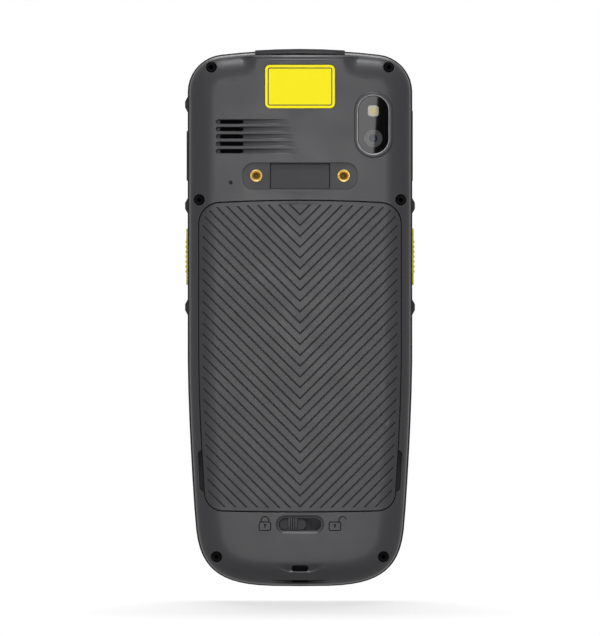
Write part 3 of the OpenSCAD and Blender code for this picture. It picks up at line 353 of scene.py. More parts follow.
class Face:
    """A moulded face: a height over the XZ plane, which each cut and swelling changes in turn.

    Each point also has a shade, 1 in the open, which falls in cuts: painted shade that darkens the colour
    where shadow falls.
    """

    def __init__(self, outline, base):
        """base is a height or a function of points."""
        self.outline = outline
        self.base = base
        self.changes = []
        self.lines = []
        self.holes = []

    def surface(self, points):
        """Height and shade of points."""
        level = heights(self.base, points)
        shade = np.ones(len(points))
        for change in self.changes:
            change(points, level, shade)
        return level, shade

    def change_near(self, ring, reach, apply):
        """For points near or inside a ring, calls apply(signed distance, which, points, level, shade)."""
        def change(points, level, shade):
            near(points, ring, reach, lambda s, which: apply(s, which, points, level, shade))
        self.changes.append(change)

    def follow(self, ring, *offsets):
        """The mesh gets edges along these offsets of a ring."""
        self.lines += [(offset(ring, d), True) for d in offsets]

    def follow_rim(self, ring, rim, side=1):
        """Mesh edges of a rounded rim, outside a ring, or inside it where side is -1."""
        for d in (rim + BESIDE, rim, 0.6 * rim, 0.3 * rim, 0.08 * rim, 0):
            self.follow(ring, side * d)

    def sink(self, ring, floor, rim=0.3, dark=0.0):
        """Cuts down to a floor, a height or a function of points and the height there. dark is painted
        shade, which darkens the cut more the deeper it is.
        """
        def apply(s, which, points, level, shade):
            here = level[which]
            bottom = heights(floor, points[which], here)
            rounded_rim = np.maximum(here - round_over(s, rim), bottom)
            cut = np.clip(-s / WALL_DRAFT, 0, 1)
            lower = np.minimum(here, (1 - cut) * rounded_rim + cut * bottom)
            # painted shade: the colour darkens with the depth of the cut
            shade[which] *= np.clip(1 - dark * (here - lower) / DARK_AT, 1 - min(dark, 1), 1)
            level[which] = lower
        self.change_near(ring, rim, apply)
        self.follow_rim(ring, rim)
        self.follow(ring, -WALL_DRAFT, -WALL_DRAFT - BESIDE)

    def bevel(self, ring, width, depth, dark=0.0):
        """Slopes down inside a ring, soft at both ends of the slope. dark is painted shade, which darkens
        it down the slope.
        """
        def apply(s, which, points, level, shade):
            level[which] -= depth * fall_in(-s / width)
            # painted shade down the slope
            shade[which] *= 1 - dark * np.clip(-s / width, 0, 1)
        self.change_near(ring, 0, apply)
        self.follow(ring, BESIDE, *(-width * np.linspace(0, 1, 8)), -width - BESIDE)

    def rise(self, ring, top, rim=0.3):
        """Raises what lies inside a ring to a height, with a rounded edge."""
        def apply(s, which, points, level, shade):
            here = level[which]
            fade = np.clip(s / WALL_DRAFT, 0, 1)
            level[which] = np.maximum(here, (1 - fade) * (top - round_over(-s, rim)) + fade * here)
        self.change_near(ring, WALL_DRAFT, apply)
        self.follow(ring, WALL_DRAFT + BESIDE, WALL_DRAFT)
        self.follow_rim(ring, rim, -1)

    def hole(self, ring, rim=0.0):
        """Cuts right through, with a rounded rim where that is asked for."""
        def apply(s, which, points, level, shade):
            level[which] -= round_over(s, rim)
        if rim:
            self.change_near(ring, rim, apply)
            self.follow_rim(ring, rim)
        else:
            self.follow(ring, 0)
        self.holes.append(ring)

    def edge(self, rim):
        """Rounds the face's own outline."""
        def change(points, level, shade):
            level -= round_over(-distance(points, self.outline), rim)
        self.changes.append(change)
        self.follow_rim(self.outline, rim, -1)

    def along(self, points):
        """Mesh edges from point to point."""
        self.lines.append((np.asarray(points), False))

    def grid(self, low, high, step):
        """Loose points that keep wide or curved stretches even."""
        xs = np.arange(low[0], high[0] + step / 2, step)
        zs = np.arange(low[1], high[1] + step / 2, step)
        points = np.array([(x + (step / 2 if i % 2 else 0), z) for i, z in enumerate(zs) for x in xs])
        self.lines.append((points[distance(points, self.outline) < -0.3], None))

    def triangles(self):
        """The XZ points and the triangles between them, holes left open."""
        points, edges = [], []
        for ring, closed in self.lines:
            start = len(points)
            points.extend(map(tuple, ring))
            last = len(points) - 1
            if closed is not None:
                edges += [(i, i + 1) for i in range(start, last)]
            if closed:
                edges.append((last, start))
        found = delaunay_2d_cdt([Vector(p) for p in points], edges, [], 0, 1e-4)
        flat = np.array([tuple(v) for v in found[0]])
        tris = np.array(found[2])
        centres = flat[tris].mean(1)
        keep = distance(centres, self.outline) < 0
        for ring in self.holes:
            def open_up(s, which):
                keep[which[s < 0]] = False
            near(centres, ring, 0, open_up)
        used, numbers = np.unique(tris[keep], return_inverse=True)
        return flat[used], numbers.reshape(-1, 3)

    def shell(self, under, side=-1):
        """The closed solid between the face and its inner side.

        under is a height, or a function of points and the height there. side is -1 where the face
        looks towards -Y and 1 where it looks towards +Y.
        """
        flat, tris = self.triangles()
        top, shade = self.surface(flat)
        low = np.minimum(heights(under, flat, top), top - THINNEST)
        n = len(flat)
        rows = [np.column_stack([flat[:, 0], side * level, flat[:, 1]]) for level in (top, low)]
        edges = np.concatenate([tris[:, [0, 1]], tris[:, [1, 2]], tris[:, [2, 0]]])
        keys = edges[:, 0] * n + edges[:, 1]
        lone = edges[~np.isin(edges[:, 1] * n + edges[:, 0], keys)]
        skirt = [(b, a, a + n, b + n) for a, b in lone.tolist()]
        faces = tris.tolist() + (tris[:, ::-1] + n).tolist() + skirt
        if side > 0:
            faces = [face[::-1] for face in faces]
        # painted shade: the inner side is never lighter than INSIDE_SHADE
        shades = np.concatenate([shade, np.minimum(shade, INSIDE_SHADE)])
        return solid(np.concatenate(rows), faces, shades)


# Pieces. Angles are in degrees.

SHARP = 35            # an edge of a piece stays sharp over this angle
MOULDING_SHARP = 50   # the same on copies whose edges have been rounded
SOFTENED_OVER = 40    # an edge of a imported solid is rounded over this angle
FLAT_UNDER = 1        # facets that meet at less are one face before that
WELD = 1e-6           # metres between vertices that are one


def linked(name, data):
    """A new object in the scene."""
    made = bpy.data.objects.new(name, data)
    bpy.context.scene.collection.objects.link(made)
    return made


def finished(mesh, finish_name, sharp):
    """Gives a mesh its material, and smooth shading except at edges over the sharp angle."""
    mesh.materials.clear()
    mesh.materials.append(finish(finish_name))
    mesh.shade_smooth()
    mesh.set_sharp_from_angle(angle=math.radians(sharp))


def placed(name, mesh, shade, finish_name, node, replaces, sharp):
    """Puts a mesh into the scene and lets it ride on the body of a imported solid."""
    mesh.attributes.new("shade", "FLOAT", "POINT").data.foreach_set("value", shade)
    finished(mesh, finish_name, sharp)
    made = linked(name, mesh)
    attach(made, frame["nodes"][node].parent.name.removeprefix("body:"))
    if replaces:
        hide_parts(*replaces)


def piece(name, made_of, finish_name, node, replaces=()):
    """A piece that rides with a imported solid."""
    mesh = bpy.data.meshes.new(name)
    points, faces, shade = made_of
    mesh.from_pydata((points * MM).tolist(), [], [tuple(f) for f in faces])
    placed(name, mesh, shade, finish_name, node, replaces, SHARP)


def softened(finish_name, width, *nodes):
    """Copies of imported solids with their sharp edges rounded, which take the solids' places."""
    for node in nodes:
        mesh = frame["nodes"][node].data.copy()
        mesh.name = node + "_moulding"
        form = bmesh.new()
        form.from_mesh(mesh)
        bmesh.ops.remove_doubles(form, verts=form.verts, dist=WELD)
        bmesh.ops.dissolve_limit(form, angle_limit=math.radians(FLAT_UNDER), verts=form.verts,
                                edges=form.edges)
        inner = [e for e in form.edges if len(e.link_faces) == 2]
        edges = [e for e in inner if e.calc_face_angle() > math.radians(SOFTENED_OVER)]
        bmesh.ops.bevel(form, geom=edges, offset=width * MM, segments=2, profile=0.5, affect="EDGES",
                        clamp_overlap=True)
        form.to_mesh(mesh)
        form.free()
        placed(mesh.name, mesh, np.ones(len(mesh.vertices)), finish_name, node, [node], MOULDING_SHARP)


def dressed(finish_name, *nodes, sharp=SHARP):
    """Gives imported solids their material."""
    for node in nodes:
        finished(frame["nodes"][node].data, finish_name, sharp)


# Materials

def empty_tree(owner):
    """The cleared node tree of a material or world."""
    owner.use_nodes = True
    owner.node_tree.nodes.clear()
    return owner.node_tree


def add(tree, kind, links=None, **settings):
    """Adds a node. links sets its sockets to values, other sockets or another node's first output."""
    node = tree.nodes.new(kind)
    for name, value in settings.items():
        setattr(node, name, value)
    for name, value in (links or {}).items():
        if isinstance(value, bpy.types.Node):
            value = value.outputs[0]
        if isinstance(value, bpy.types.NodeSocket):
            tree.links.new(value, node.inputs[name])
        else:
            node.inputs[name].default_value = value
    return node


DUSTY = 0.95          # roughness where dust has settled in a cut
SMUDGE_SPACING = 7.0  # millimetres between smudges

# Short names for the shader's sockets
SOCKETS = {
    "ior": "IOR",
    "specular": "Specular IOR Level",
    "metallic": "Metallic",
    "coat": "Coat Weight",
    "coat_roughness": "Coat Roughness",
    "coat_ior": "Coat IOR",
    "scatter": "Subsurface Weight",
    "scatter_radius": "Subsurface Radius",
}


def material(name, colour, roughness, grain=0.3, height=0.008, mottle=0.06, smudge=0.04,
             stretch=(1, 1, 1), weave=0.0, shaded=False, glow=None, **sockets):
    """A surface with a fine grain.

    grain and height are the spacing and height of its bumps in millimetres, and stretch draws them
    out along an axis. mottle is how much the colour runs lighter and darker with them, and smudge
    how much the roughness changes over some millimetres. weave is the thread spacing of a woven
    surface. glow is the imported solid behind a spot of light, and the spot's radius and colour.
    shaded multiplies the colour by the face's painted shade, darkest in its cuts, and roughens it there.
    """
    colour = from_hex(colour) if colour.startswith("#") else tuple(getattr(settings()[1], colour))
    made = bpy.data.materials.new(name)
    tree = empty_tree(made)
    inputs = {SOCKETS[key]: value for key, value in sockets.items()}
    shader = add(tree, "ShaderNodeBsdfPrincipled",
                 {"Base Color": (*colour, 1), "Roughness": roughness, **inputs})
    add(tree, "ShaderNodeOutputMaterial", {"Surface": shader}, is_active_output=True)
    if not (height or mottle or smudge or weave or shaded or glow):
        return made
    place = add(tree, "ShaderNodeTexCoord").outputs["Object"]
    if weave:
        scale = math.pi / (10 * weave * MM)
        threads = [add(tree, "ShaderNodeTexWave", {"Vector": place, "Scale": scale},
                       bands_direction=axis).outputs["Fac"] for axis in "XZ"]
        bumps = add(tree, "ShaderNodeMath", {0: threads[0], 1: threads[1]}, operation="MAXIMUM")
    else:
        scale = [1 / (grain * MM * s) for s in stretch]
        fine = add(tree, "ShaderNodeMapping", {"Vector": place, "Scale": scale})
        bumps = add(tree, "ShaderNodeTexNoise",
                    {"Vector": fine, "Scale": 1.0, "Detail": 3.0, "Roughness": 0.6})
    if height:
        bump = add(tree, "ShaderNodeBump", {"Height": bumps, "Distance": height * MM, "Strength": 1.0})
        tree.links.new(bump.outputs[0], shader.inputs["Normal"])
    if shaded:
        shade = add(tree, "ShaderNodeAttribute", attribute_name="shade").outputs["Fac"]
    if smudge:
        wide = add(tree, "ShaderNodeTexNoise",
                   {"Vector": place, "Scale": 1 / (SMUDGE_SPACING * MM), "Detail": 2.0})
        rough = add(tree, "ShaderNodeMapRange", {0: wide, 1: 0.3, 2: 0.7, 3: roughness - smudge / 2,
                                                 4: roughness + smudge / 2})
        if shaded:
            rough = add(tree, "ShaderNodeMix", {0: shade, 2: DUSTY, 3: rough})
        tree.links.new(rough.outputs[0], shader.inputs["Roughness"])
    if mottle:
        dark, light = ([min(1, c * k) for c in colour] + [1] for k in (1 - mottle, 1 + mottle))
        tint = add(tree, "ShaderNodeMix", {0: bumps, 6: dark, 7: light}, data_type="RGBA").outputs[2]
        if glow:
            node, radius, spot = glow
            x, _, z = middle(node) * MM
            away = add(tree, "ShaderNodeVectorMath", {0: place, 1: (x, CAMERA_FACE * MM, z)},
                       operation="DISTANCE").outputs["Value"]
            fade = add(tree, "ShaderNodeMapRange", {0: away, 1: 0.0, 2: radius * MM, 3: 1.0, 4: 0.0})
            tint = add(tree, "ShaderNodeMix", {0: fade, 6: tint, 7: (*from_hex(spot), 1)},
                       data_type="RGBA").outputs[2]
        # painted shade: the colour is multiplied by the face's shade
        if shaded:
            tint = add(tree, "ShaderNodeMix", {0: 1.0, 6: tint, 7: shade}, data_type="RGBA",
                       blend_type="MULTIPLY").outputs[2]
        tree.links.new(tint, shader.inputs["Base Color"])
    return made


# What parts of the finishes share: a resin, a metal, and ink or glass under one clear layer
RESIN = dict(ior=1.58, specular=0.3, mottle=0.14, height=0.003, grain=0.22, shaded=True)
METAL = dict(metallic=1.0)
CLEAR = dict(roughness=0.5, height=0, mottle=0, smudge=0, specular=0.0, coat=1.0, coat_roughness=0.015)

# Each finish by name, and what its real surface gives the eye. Colours that a user may change are
# named, the others are sRGB. Grain sizes are in millimetres.
FINISHES = {
    # Polycarbonate blend from a spark-eroded mould: an even satin that spreads the lamps' shine
    "spark_eroded_polycarbonate": dict(RESIN, colour="housing", roughness=0.37),
    # The same resin from the cover's own mould, a touch duller
    "spark_eroded_polycarbonate_cover": dict(RESIN, colour="cover", roughness=0.38),
    # Near-black polycarbonate from a blasted mould: duller than the back
    "blasted_polycarbonate_front": dict(
        colour="front", roughness=0.5, height=0.006, mottle=0.12, ior=1.58, specular=0.18),
    # Glass-filled nylon, moulded: its fibres make it matt and slightly cloudy
    "moulded_glass_filled_nylon": dict(
        RESIN, colour="latch", roughness=0.4, grain=0.35, mottle=0.12, ior=1.53),
    # Moulded silicone: soft even shine with no sharp reflection
    "moulded_silicone_yellow": dict(
        colour="yellow", roughness=0.48, grain=0.4, height=0.006, mottle=0.05, shaded=True, ior=1.41,
        specular=0.3, scatter=0.08, scatter_radius=(0.0012, 0.0009, 0.0003)),
    # Thermoplastic elastomer, moulded: matt, with a faint bloom on its surface
    "moulded_elastomer_black": dict(
        colour="#252526", roughness=0.62, grain=0.35, mottle=0.1, smudge=0.08, shaded=True,
        ior=1.5, specular=0.3),
    # Cast silicone seal, dark and slightly sticky with dust
    "silicone_seal": dict(colour="#2e2f32", roughness=0.7, grain=0.5, height=0.006, mottle=0.15),
    # Black zinc-nickel plate on steel: a dull metal, nearly black
    "black_zinc_plated_steel": dict(
        colour="#0b0b0c", roughness=0.5, grain=0.25, height=0.004, mottle=0.2, shaded=True,
        specular=0.04),
    # Phosphated spring steel: crystals of phosphate leave a matt grey
    "phosphated_spring_steel": dict(
        colour="#3e3e41", roughness=0.65, grain=0.18, height=0.003, mottle=0.12, specular=0.15),
    # Polyester film, screen printed on its face: smooth, with a weak broad shine
    "printed_polyester_film": dict(
        colour="plate", roughness=0.5, grain=1.2, height=0.001, mottle=0.01, ior=1.49, specular=0.1),
    # The ink of the line printed on that film
    "printed_border_ink": dict(
        colour="border", roughness=0.5, grain=0.4, height=0.001, mottle=0.05, specular=0.15),
    # Ion-strengthened glass over black ink: the ink takes the light, the glass gives one reflection
    "toughened_glass_over_ink": dict(CLEAR, colour="#020203", coat_ior=1.3),
    # The camera's window, the same but coated against reflections, which a low index stands for
    "anti_reflex_glass_over_ink": dict(CLEAR, colour="#010101", coat_roughness=0.012, coat_ior=1.12),
    # Grey print under the same glass, round the lens
    "grey_ink_under_glass": dict(CLEAR, colour="#3e3e40", coat_roughness=0.012, coat_ior=1.12),
    # White print under the glass, round the flash
    "white_ink_under_glass": dict(CLEAR, colour="#83837d", coat_ior=1.15),
    # Coated lens glass: nearly black, with the blue cast of its coats
    "coated_lens_glass": dict(
        CLEAR, colour="#0a0d1c", roughness=0.3, coat_roughness=0.01, coat_ior=1.12),
    # A blue disc off the lens's middle, towards its lower right: a painted reflection, the blue glint of
    # the lens's coat
    "blue_coated_inner_lens": dict(
        CLEAR, colour="#1c2a45", roughness=0.3, coat_roughness=0.01, coat_ior=1.12),
    # Polycarbonate flash lens with a phosphor behind it: cream
    "phosphor_behind_polycarbonate": dict(
        colour="#e4dfc0", roughness=0.35, height=0.002, mottle=0.04, ior=1.58, specular=0.3, coat=0.5,
        coat_roughness=0.05),
    # The flash seen through clear glass: cream, with its yellow phosphor in the middle
    "flash_behind_glass": dict(
        CLEAR, colour="#928a6c", mottle=0.03, glow=("flash_lens", 1.3, "#a8933a"), coat_ior=1.15),
    # Anodised aluminium, turned and brushed round: bright, its brushing too fine to show
    "brushed_anodised_aluminium": dict(
        METAL, colour="#929294", roughness=0.3, grain=0.12, height=0.002, mottle=0.05),
    # Turned brass, nickel-free: warm, with a little oxide. The tool's rings are too fine to show
    "turned_brass": dict(
        METAL, colour="brass", roughness=0.34, grain=0.2, height=0.003, mottle=0.12, smudge=0.1,
        shaded=True),
    # Smoke-black polycarbonate that lets infrared through: smooth, with a soft shine
    "infrared_polycarbonate": dict(
        colour="#2b2b2e", roughness=0.35, grain=3.0, height=0.001, mottle=0.05, ior=1.58, specular=0.2),
    # Moulded liquid-crystal polymer, near black: connectors and module bodies
    "moulded_lcp_black": dict(
        colour="#161617", roughness=0.5, height=0.006, mottle=0.14, specular=0.3),
    # Cold-rolled tinned steel: soft mirror with rolling lines along one way
    "tinned_steel": dict(
        METAL, colour="#b3b3b0", roughness=0.36, grain=0.12, height=0.003, mottle=0.08, smudge=0.12,
        stretch=(1, 1, 12)),
    # Nickel-plated brass of sockets and small motors
    "nickel_plated": dict(
        METAL, colour="#a9a49a", roughness=0.3, grain=0.2, height=0.002, mottle=0.08),
    # Polyester shrink sleeve round the cells: smooth, slightly wavy
    "shrink_sleeve": dict(
        colour="#23262b", roughness=0.38, grain=4.0, height=0.03, ior=1.57, specular=0.35),
    # Woven stainless cloth, finer than it is drawn here, near black: partly painted shade, for the shadow
    # inside the sound slots
    "woven_steel_cloth": dict(
        colour="#060607", roughness=0.6, height=0.02, mottle=0.5, weave=0.3, specular=0.02),
    # Solder mask over glass-fibre laminate: green satin, faintly uneven from the weave under it
    "solder_masked_laminate": dict(
        colour="#17492f", roughness=0.4, grain=0.5, height=0.006, mottle=0.14, ior=1.55),
    # Etched copper foil on polyimide
    "copper_on_polyimide": dict(METAL, colour="#a8693c", roughness=0.35, height=0.004, mottle=0.1),
    # Rear of a display module: folded bright tray
    "display_tray": dict(METAL, colour="#8e9094", roughness=0.4, height=0.003),
    # The panel behind the glass while it is off: deep blue-grey
    "panel_under_glass": dict(CLEAR, colour="#10131a", coat_ior=1.3),
    # Silicone mat with carbon pills under the keys
    "silicone_mat": dict(colour="#3a3b3d", roughness=0.65, grain=0.5, height=0.005, mottle=0.08),
    # ABS key caps from a finely blasted mould: satin that wears smooth
    "blasted_abs_key": dict(
        colour="key", roughness=0.45, grain=0.25, height=0.006, mottle=0.1, smudge=0.1, shaded=True,
        ior=1.54, specular=0.4),
    # Pad-printed figures, opaque and slightly raised
    "pad_printed_legend": dict(colour="legend", roughness=0.55, height=0.002, mottle=0.03),
    # Clear light guide, frosted on its face
    "frosted_light_guide": dict(colour="#cfd6d4", roughness=0.35, height=0.002, mottle=0.04),
}


def finish(name):
    return bpy.data.materials.get(name) or material(name, **FINISHES[name])


# The back, shared by the rear housing and the battery cover. Heights are over the parting plane.

BACK = 9.0            # height of the back face
ROLL_W = 8.5          # width over which the back's edge rolls over
ROLL_D = 4.2          # depth by which it rolls over
HUMP_CREST = 14.2     # half width of the scanner hump at its crest
HUMP_FOOT = 19.3      # half width at its foot
HUMP_LENGTH = 24.0    # from the top end down to where the hump begins
HUMP_START = 4.0      # length over which it begins
HUMP_LIP = 0.9        # from the rear housing's top edge to the hump's lip
LIP_WIDTH = 0.7       # width of that lip's bevel
LIP_FALL = 0.36       # height of that bevel
REAR_WALL = 1.9
LEDGE = 6.4           # height of the ledge that the cover lies on
BAY_FLOOR = 1.2
COVER_GAP = 0.35
COVER_UNDER = 6.6     # height of the cover's rim on its inner side
CROWN_HALF = 36.8     # half width at which the crown has its full fall
TONGUES = (-20, 0, 20)  # X of the cover's tongues
TONGUE_HALF = 4.0     # half of a tongue's width
TONGUE_PLAY = 0.4     # room on each side of it
POCKET_ROOF = 7.6     # height of the thin wall over it
SCREW_ROWS = ((0, 60), (60, 150), (150, 200))  # Z ranges that each hold one screw of a side
SCREW_SEAT = 5.4      # height that the screws' heads rest on
SCOOP = 0.5           # depth of the scoops beside the sound slots
TRAVEL = 4.9          # how far the latch slides
LENS_SHIFT = 4.55     # from the camera window's middle down to the lens and up to the flash
GRID = 3.0            # between the loose mesh points of both faces
FINE_GRID = 0.9       # the same round the hump

rear_outline = hull(cad_points("rear_housing")[:, [0, 2]])
cover_corners = cad_points("battery_cover")
cover_outline = hull(cover_corners[cover_corners[:, 1] < -7.9][:, [0, 2]])  # of its outer face
rear_top = rear_outline[:, 1].max()
cover_z0 = cover_outline[:, 1].min()
cover_z1 = cover_outline[:, 1].max()
body_l = cad_box[1][2] / MM
latch_z = cover_z0 - 4.3   # middle of the latch's slot
strap_z = cover_z1 + 8.25  # middle of the strap's recess
# the cover's +X side, between its round corners
cover_side = cover_outline[(cover_outline[:, 0] > 0) & (cover_outline[:, 1] > cover_z0 + 5.5)
                           & (cover_outline[:, 1] < cover_z1 - 5)]
cover_side = cover_side[np.argsort(cover_side[:, 1])]


def side_at(z):
    """Half the cover's width at a height."""
    return np.interp(z, cover_side[:, 1], cover_side[:, 0])


def screw_places():
    """[x, z] of the three screws on the +X side. The others mirror them."""
    corners = cad_points("housing_screws")[:, [0, 2]]
    corners = corners[corners[:, 0] > 0]
    groups = [corners[(corners[:, 1] > low) & (corners[:, 1] < high)] for low, high in SCREW_ROWS]
    return [(group.min(0) + group.max(0)) / 2 for group in groups]


def bolt_box():
    """(lowest, highest) corner of the latch's bolt."""
    corners = cad_points("latch_slider")
    bolt = corners[corners[:, 2] > latch_z + 3.4]
    return bolt.min(0), bolt.max(0)


def back_height(points):
    """Height of the plain back: crowned, rolled over at its edge, with the scanner hump."""
    d = np.clip(-distance(points, rear_outline), 0, None)
    across = np.abs(points[:, 0])
    crown = settings()[0].crown / MM * (across / CROWN_HALF) ** 2
    roll = ROLL_D / ROLL_W * round_over(d, ROLL_W)
    raised = roll * (1 - fall_in((across - HUMP_CREST) / (HUMP_FOOT - HUMP_CREST)))
    raised *= np.clip((points[:, 1] - (body_l - HUMP_LENGTH)) / HUMP_START, 0, 1)
    lip = LIP_FALL * np.clip((HUMP_LIP + LIP_WIDTH - d) / LIP_WIDTH, 0, 1)
    on_hump = np.clip((d - HUMP_LIP) / WALL_DRAFT + 1, 0, 1)
    return BACK - crown - roll + np.clip(raised - lip, 0, None) * on_hump


class TERMINAL_OT_rear_housing(bpy.types.Operator):
    """Makes the moulded rear housing with its cut-outs"""
    bl_idname = "terminal.rear_housing"
    bl_label = "Rear housing"

    def execute(self, context):
        face = Face(rear_outline, back_height)
        self.edge_and_hump(face)
        face.follow(rear_outline, -REAR_WALL, -REAR_WALL - 0.05)
        face.grid((-36, 2), (36, 177), GRID)
        face.grid((-34, 158), (34, 178), FINE_GRID)
        for cut_out in (self.cover_seat, self.latch_seat, self.padlocks, self.wells, self.sound_slots,
                        self.strap_recess, self.camera_seat, self.lanyard, self.ends):
            cut_out(face)
        piece("rear_shell", face.shell(self.under), "spark_eroded_polycarbonate", "rear_housing",
              ["rear_housing"])
        return {"FINISHED"}

    def under(self, flat, top):
        """The inner side: a wall all round and a back wall, thinner over the cover's tongues."""
        inner = np.maximum(np.minimum(back_height(flat) - REAR_WALL, top - 0.9), 0.1)
        over = (flat[:, 1] > cover_z1 - 1.5) & (flat[:, 1] < cover_z1 + 2.8) & (top > POCKET_ROOF)
        for x in TONGUES:
            pocket = over & (np.abs(flat[:, 0] - x) < TONGUE_HALF + TONGUE_PLAY)
            inner = np.where(pocket, np.minimum(POCKET_ROOF, top - 0.6), inner)
        return np.where(-distance(flat, rear_outline) < REAR_WALL + 0.02, 0.0, inner)

    def edge_and_hump(self, face):
        """Mesh edges that the rolled edge and the hump need."""
        angles = np.radians(np.arange(0, 91, 6))
        face.follow(rear_outline, *(-ROLL_W * (1 - np.cos(angles))))
        lip = HUMP_LIP + LIP_WIDTH * np.array([-0.1, 0, 0.1, 0.9, 1, 1.15])
        face.follow(rear_outline, *-lip)
        below_lip = HUMP_LIP + LIP_WIDTH
        zs = np.arange(156, rear_top - below_lip, 0.5)
        xs = np.arange(HUMP_CREST - 0.8, HUMP_FOOT + 0.9, 0.25)
        for x in np.concatenate([-xs, xs]):
            ring = np.column_stack([np.full(len(zs), x), zs])
            face.along(ring[distance(ring, rear_outline) < -below_lip - 0.2])

    def cover_seat(self, face):
        """The cover's seat, its bay, the finger notches and the pockets for tongues and hook."""
        # painted shade in the seam round the cover
        face.sink(offset(cover_outline, COVER_GAP), LEDGE, 0.12, 0.75)
        z0, z1 = cover_z0 + 6.5, cover_z0 + 20.2
        width = 1.2
        zs = np.linspace(z0 + width, z1 - width, 7)
        side = side_at(zs)
        outer = np.column_stack([side + COVER_GAP + width, zs])
        low = arc(side[0] + COVER_GAP, z0 + width, width, -90, -10, 6)
        high = arc(side[-1] + COVER_GAP, z1 - width, width, 10, 90, 6)
        ring = np.concatenate([[(side[0] - 1, z0)], low, outer, high, [(side[-1] - 1, z1)]])
        # painted shade in the finger notches
        for one in (ring, mirrored(ring)):
            face.sink(one, LEDGE - 3, 0.15, 0.5)
        low, high = cad_box_mm("battery_pack")
        face.sink(rounded_box(low - 0.5, high + 0.5, 0.6), BAY_FLOOR, 0.2)
        face.sink(box_ring(-6.1, high[2] - 1, 6.1, high[2] + 3.6), BAY_FLOOR, 0.1)
        top = cover_outline[cover_outline[:, 1] > cover_z1 - 3]
        top = top[np.argsort(top[:, 0])]
        for x in TONGUES:
            half = TONGUE_HALF + TONGUE_PLAY
            xs = np.linspace(x - half, x + half, 7)
            edge = np.column_stack([xs, np.interp(xs, top[:, 0], top[:, 1])])
            face.hole(np.concatenate([edge + (0, 0.2), (edge + (0, 0.42))[::-1]]))
        low, high = bolt_box()
        face.hole(box_ring(low[0] - 0.7, latch_z + 4.05, high[0] + 0.7 + TRAVEL, latch_z + 6.6))

    def latch_seat(self, face):
        face.bevel(rounded(0, latch_z, 16.2, 6.2, 3.1, 14), 0.8, 0.45)
        face.hole(rounded(0, latch_z, 14.2, 4.2, 2.1, 14), 0.06)

    def padlocks(self, face):
        """Engraved signs, shut on one side and open on the other."""
        deep = settings()[0].engraving / MM
        # dark is painted shade in the engraved lines
        rim, dark = 0.04, 5.0
        z = latch_z - 0.6
        shut = np.concatenate([[(-1.3, 1.4)], arc(0, 1.9, 1.3, 180, 0), [(1.3, 1.4)]])
        ajar = np.concatenate([[(1.3, 1.4)], arc(2.55, 1.95, 1.25, 180, 20)])
        for x, shackle in ((-11.65, shut), (11.6, ajar)):
            body = rounded(x, z, 3.8, 2.8, 0.5)
            inner = offset(body, -0.15)

            def frame_only(points, here, inner=inner):
                return here - deep * (distance(points, inner) > 0)
            face.sink(offset(body, 0.15), frame_only, rim, dark)
            face.follow(inner, -0.02, 0.02)
            for path, width in ((shackle + (x, z), 0.3), ([(x, z - 0.5), (x, z + 0.7)], 0.35),
                                ([(x - 0.45, z + 0.5), (x + 0.45, z + 0.5)], 0.35)):
                face.sink(stroke(path, width), lambda points, here: here - deep, rim, dark)

    def wells(self, face):
        for x, z in screw_places():
            for side in (-1, 1):
                # painted shade in the screw wells
                face.sink(circle(side * x, z, 1.85), SCREW_SEAT, 0.1, 1.0)
                face.hole(circle(side * x, z, 0.95, 24))

    def sound_slots(self, face):
        """Sound slots, whose scoops run out towards the middle, and the microphone's hole."""
        x, z = middle("speaker_mesh")[[0, 2]]
        for i in range(5):
            level = z + (2 - i) * 2.44
            self.scoop(face, x - 4.45, level, 8.35, 15.3 + 0.9 * i)
            face.hole(rounded(x, level, 7.8, 1.2, 0.6), 0.05)
        face.hole(circle(*middle("microphone")[[0, 2]], 0.55, 24), 0.15)

    def scoop(self, face, x, z, flat, run):
        """A groove from x that keeps its depth over a flat stretch and then runs out."""
        def change(points, level, shade):
            along = points[:, 0] - x
            away = np.hypot(np.clip(-along, 0, None), points[:, 1] - z)
            depth = (1 - np.clip((along - flat) / run, 0, 1)) * (1 - fall_in((away - 0.5) / 0.35))
            level -= SCOOP * depth
            # painted shade in the scoop, darker where it is deeper
            shade *= 1 - 0.42 * depth
        face.changes.append(change)
        xs = np.linspace(x, x + flat + run, 30)
        for away in (0.5, 0.57, 0.64, 0.71, 0.78, 0.85, 0.95):
            low = np.column_stack([xs, np.full(30, z - away)])
            end = arc(x, z, away, 270, 90, 12)[1:-1]
            face.along(np.concatenate([low[::-1], end, low + (0, 2 * away)]))

    def strap_recess(self, face):
        """The strap's recess with its deeper middle, and the holes of the inserts."""
        # painted shade on the recess floor and down the slope of its deeper middle
        face.sink(rounded(0, strap_z, 38.1, 8.9, 3.7), BACK - 0.8, 0.08, 0.16)
        face.bevel(rounded(0, strap_z, 20.1, 8.6, 0.3), 0.4, 0.8, 0.06)
        for side in (-1, 1):
            face.hole(circle(side * 14.525, strap_z + 0.15, 2.0), 0.08)

    def camera_seat(self, face):
        """The raised collar of the camera window, and the holes of the lens and the flash."""
        x, z = middle("camera_window")[[0, 2]]
        face.rise(rounded(x, z, 13.0, 22.2, 6.5), BACK - 0.05, 0.6)
        # painted shade in the groove round the window
        face.sink(rounded(x, z, 10.9, 20.1, 5.45), BACK - 0.9, 0.12, 0.6)
        face.hole(circle(x, z - LENS_SHIFT, 3.7))
        face.hole(rounded(x, z + LENS_SHIFT, 4.3, 4.3, 1))

    def lanyard(self, face):
        """The slot of the wrist cord, the hollow above its bar and the step below it."""
        step_z = 2.5

        def lip(x):
            return np.interp(np.abs(x), (3.4, 6.8), (5.0, 6.0))

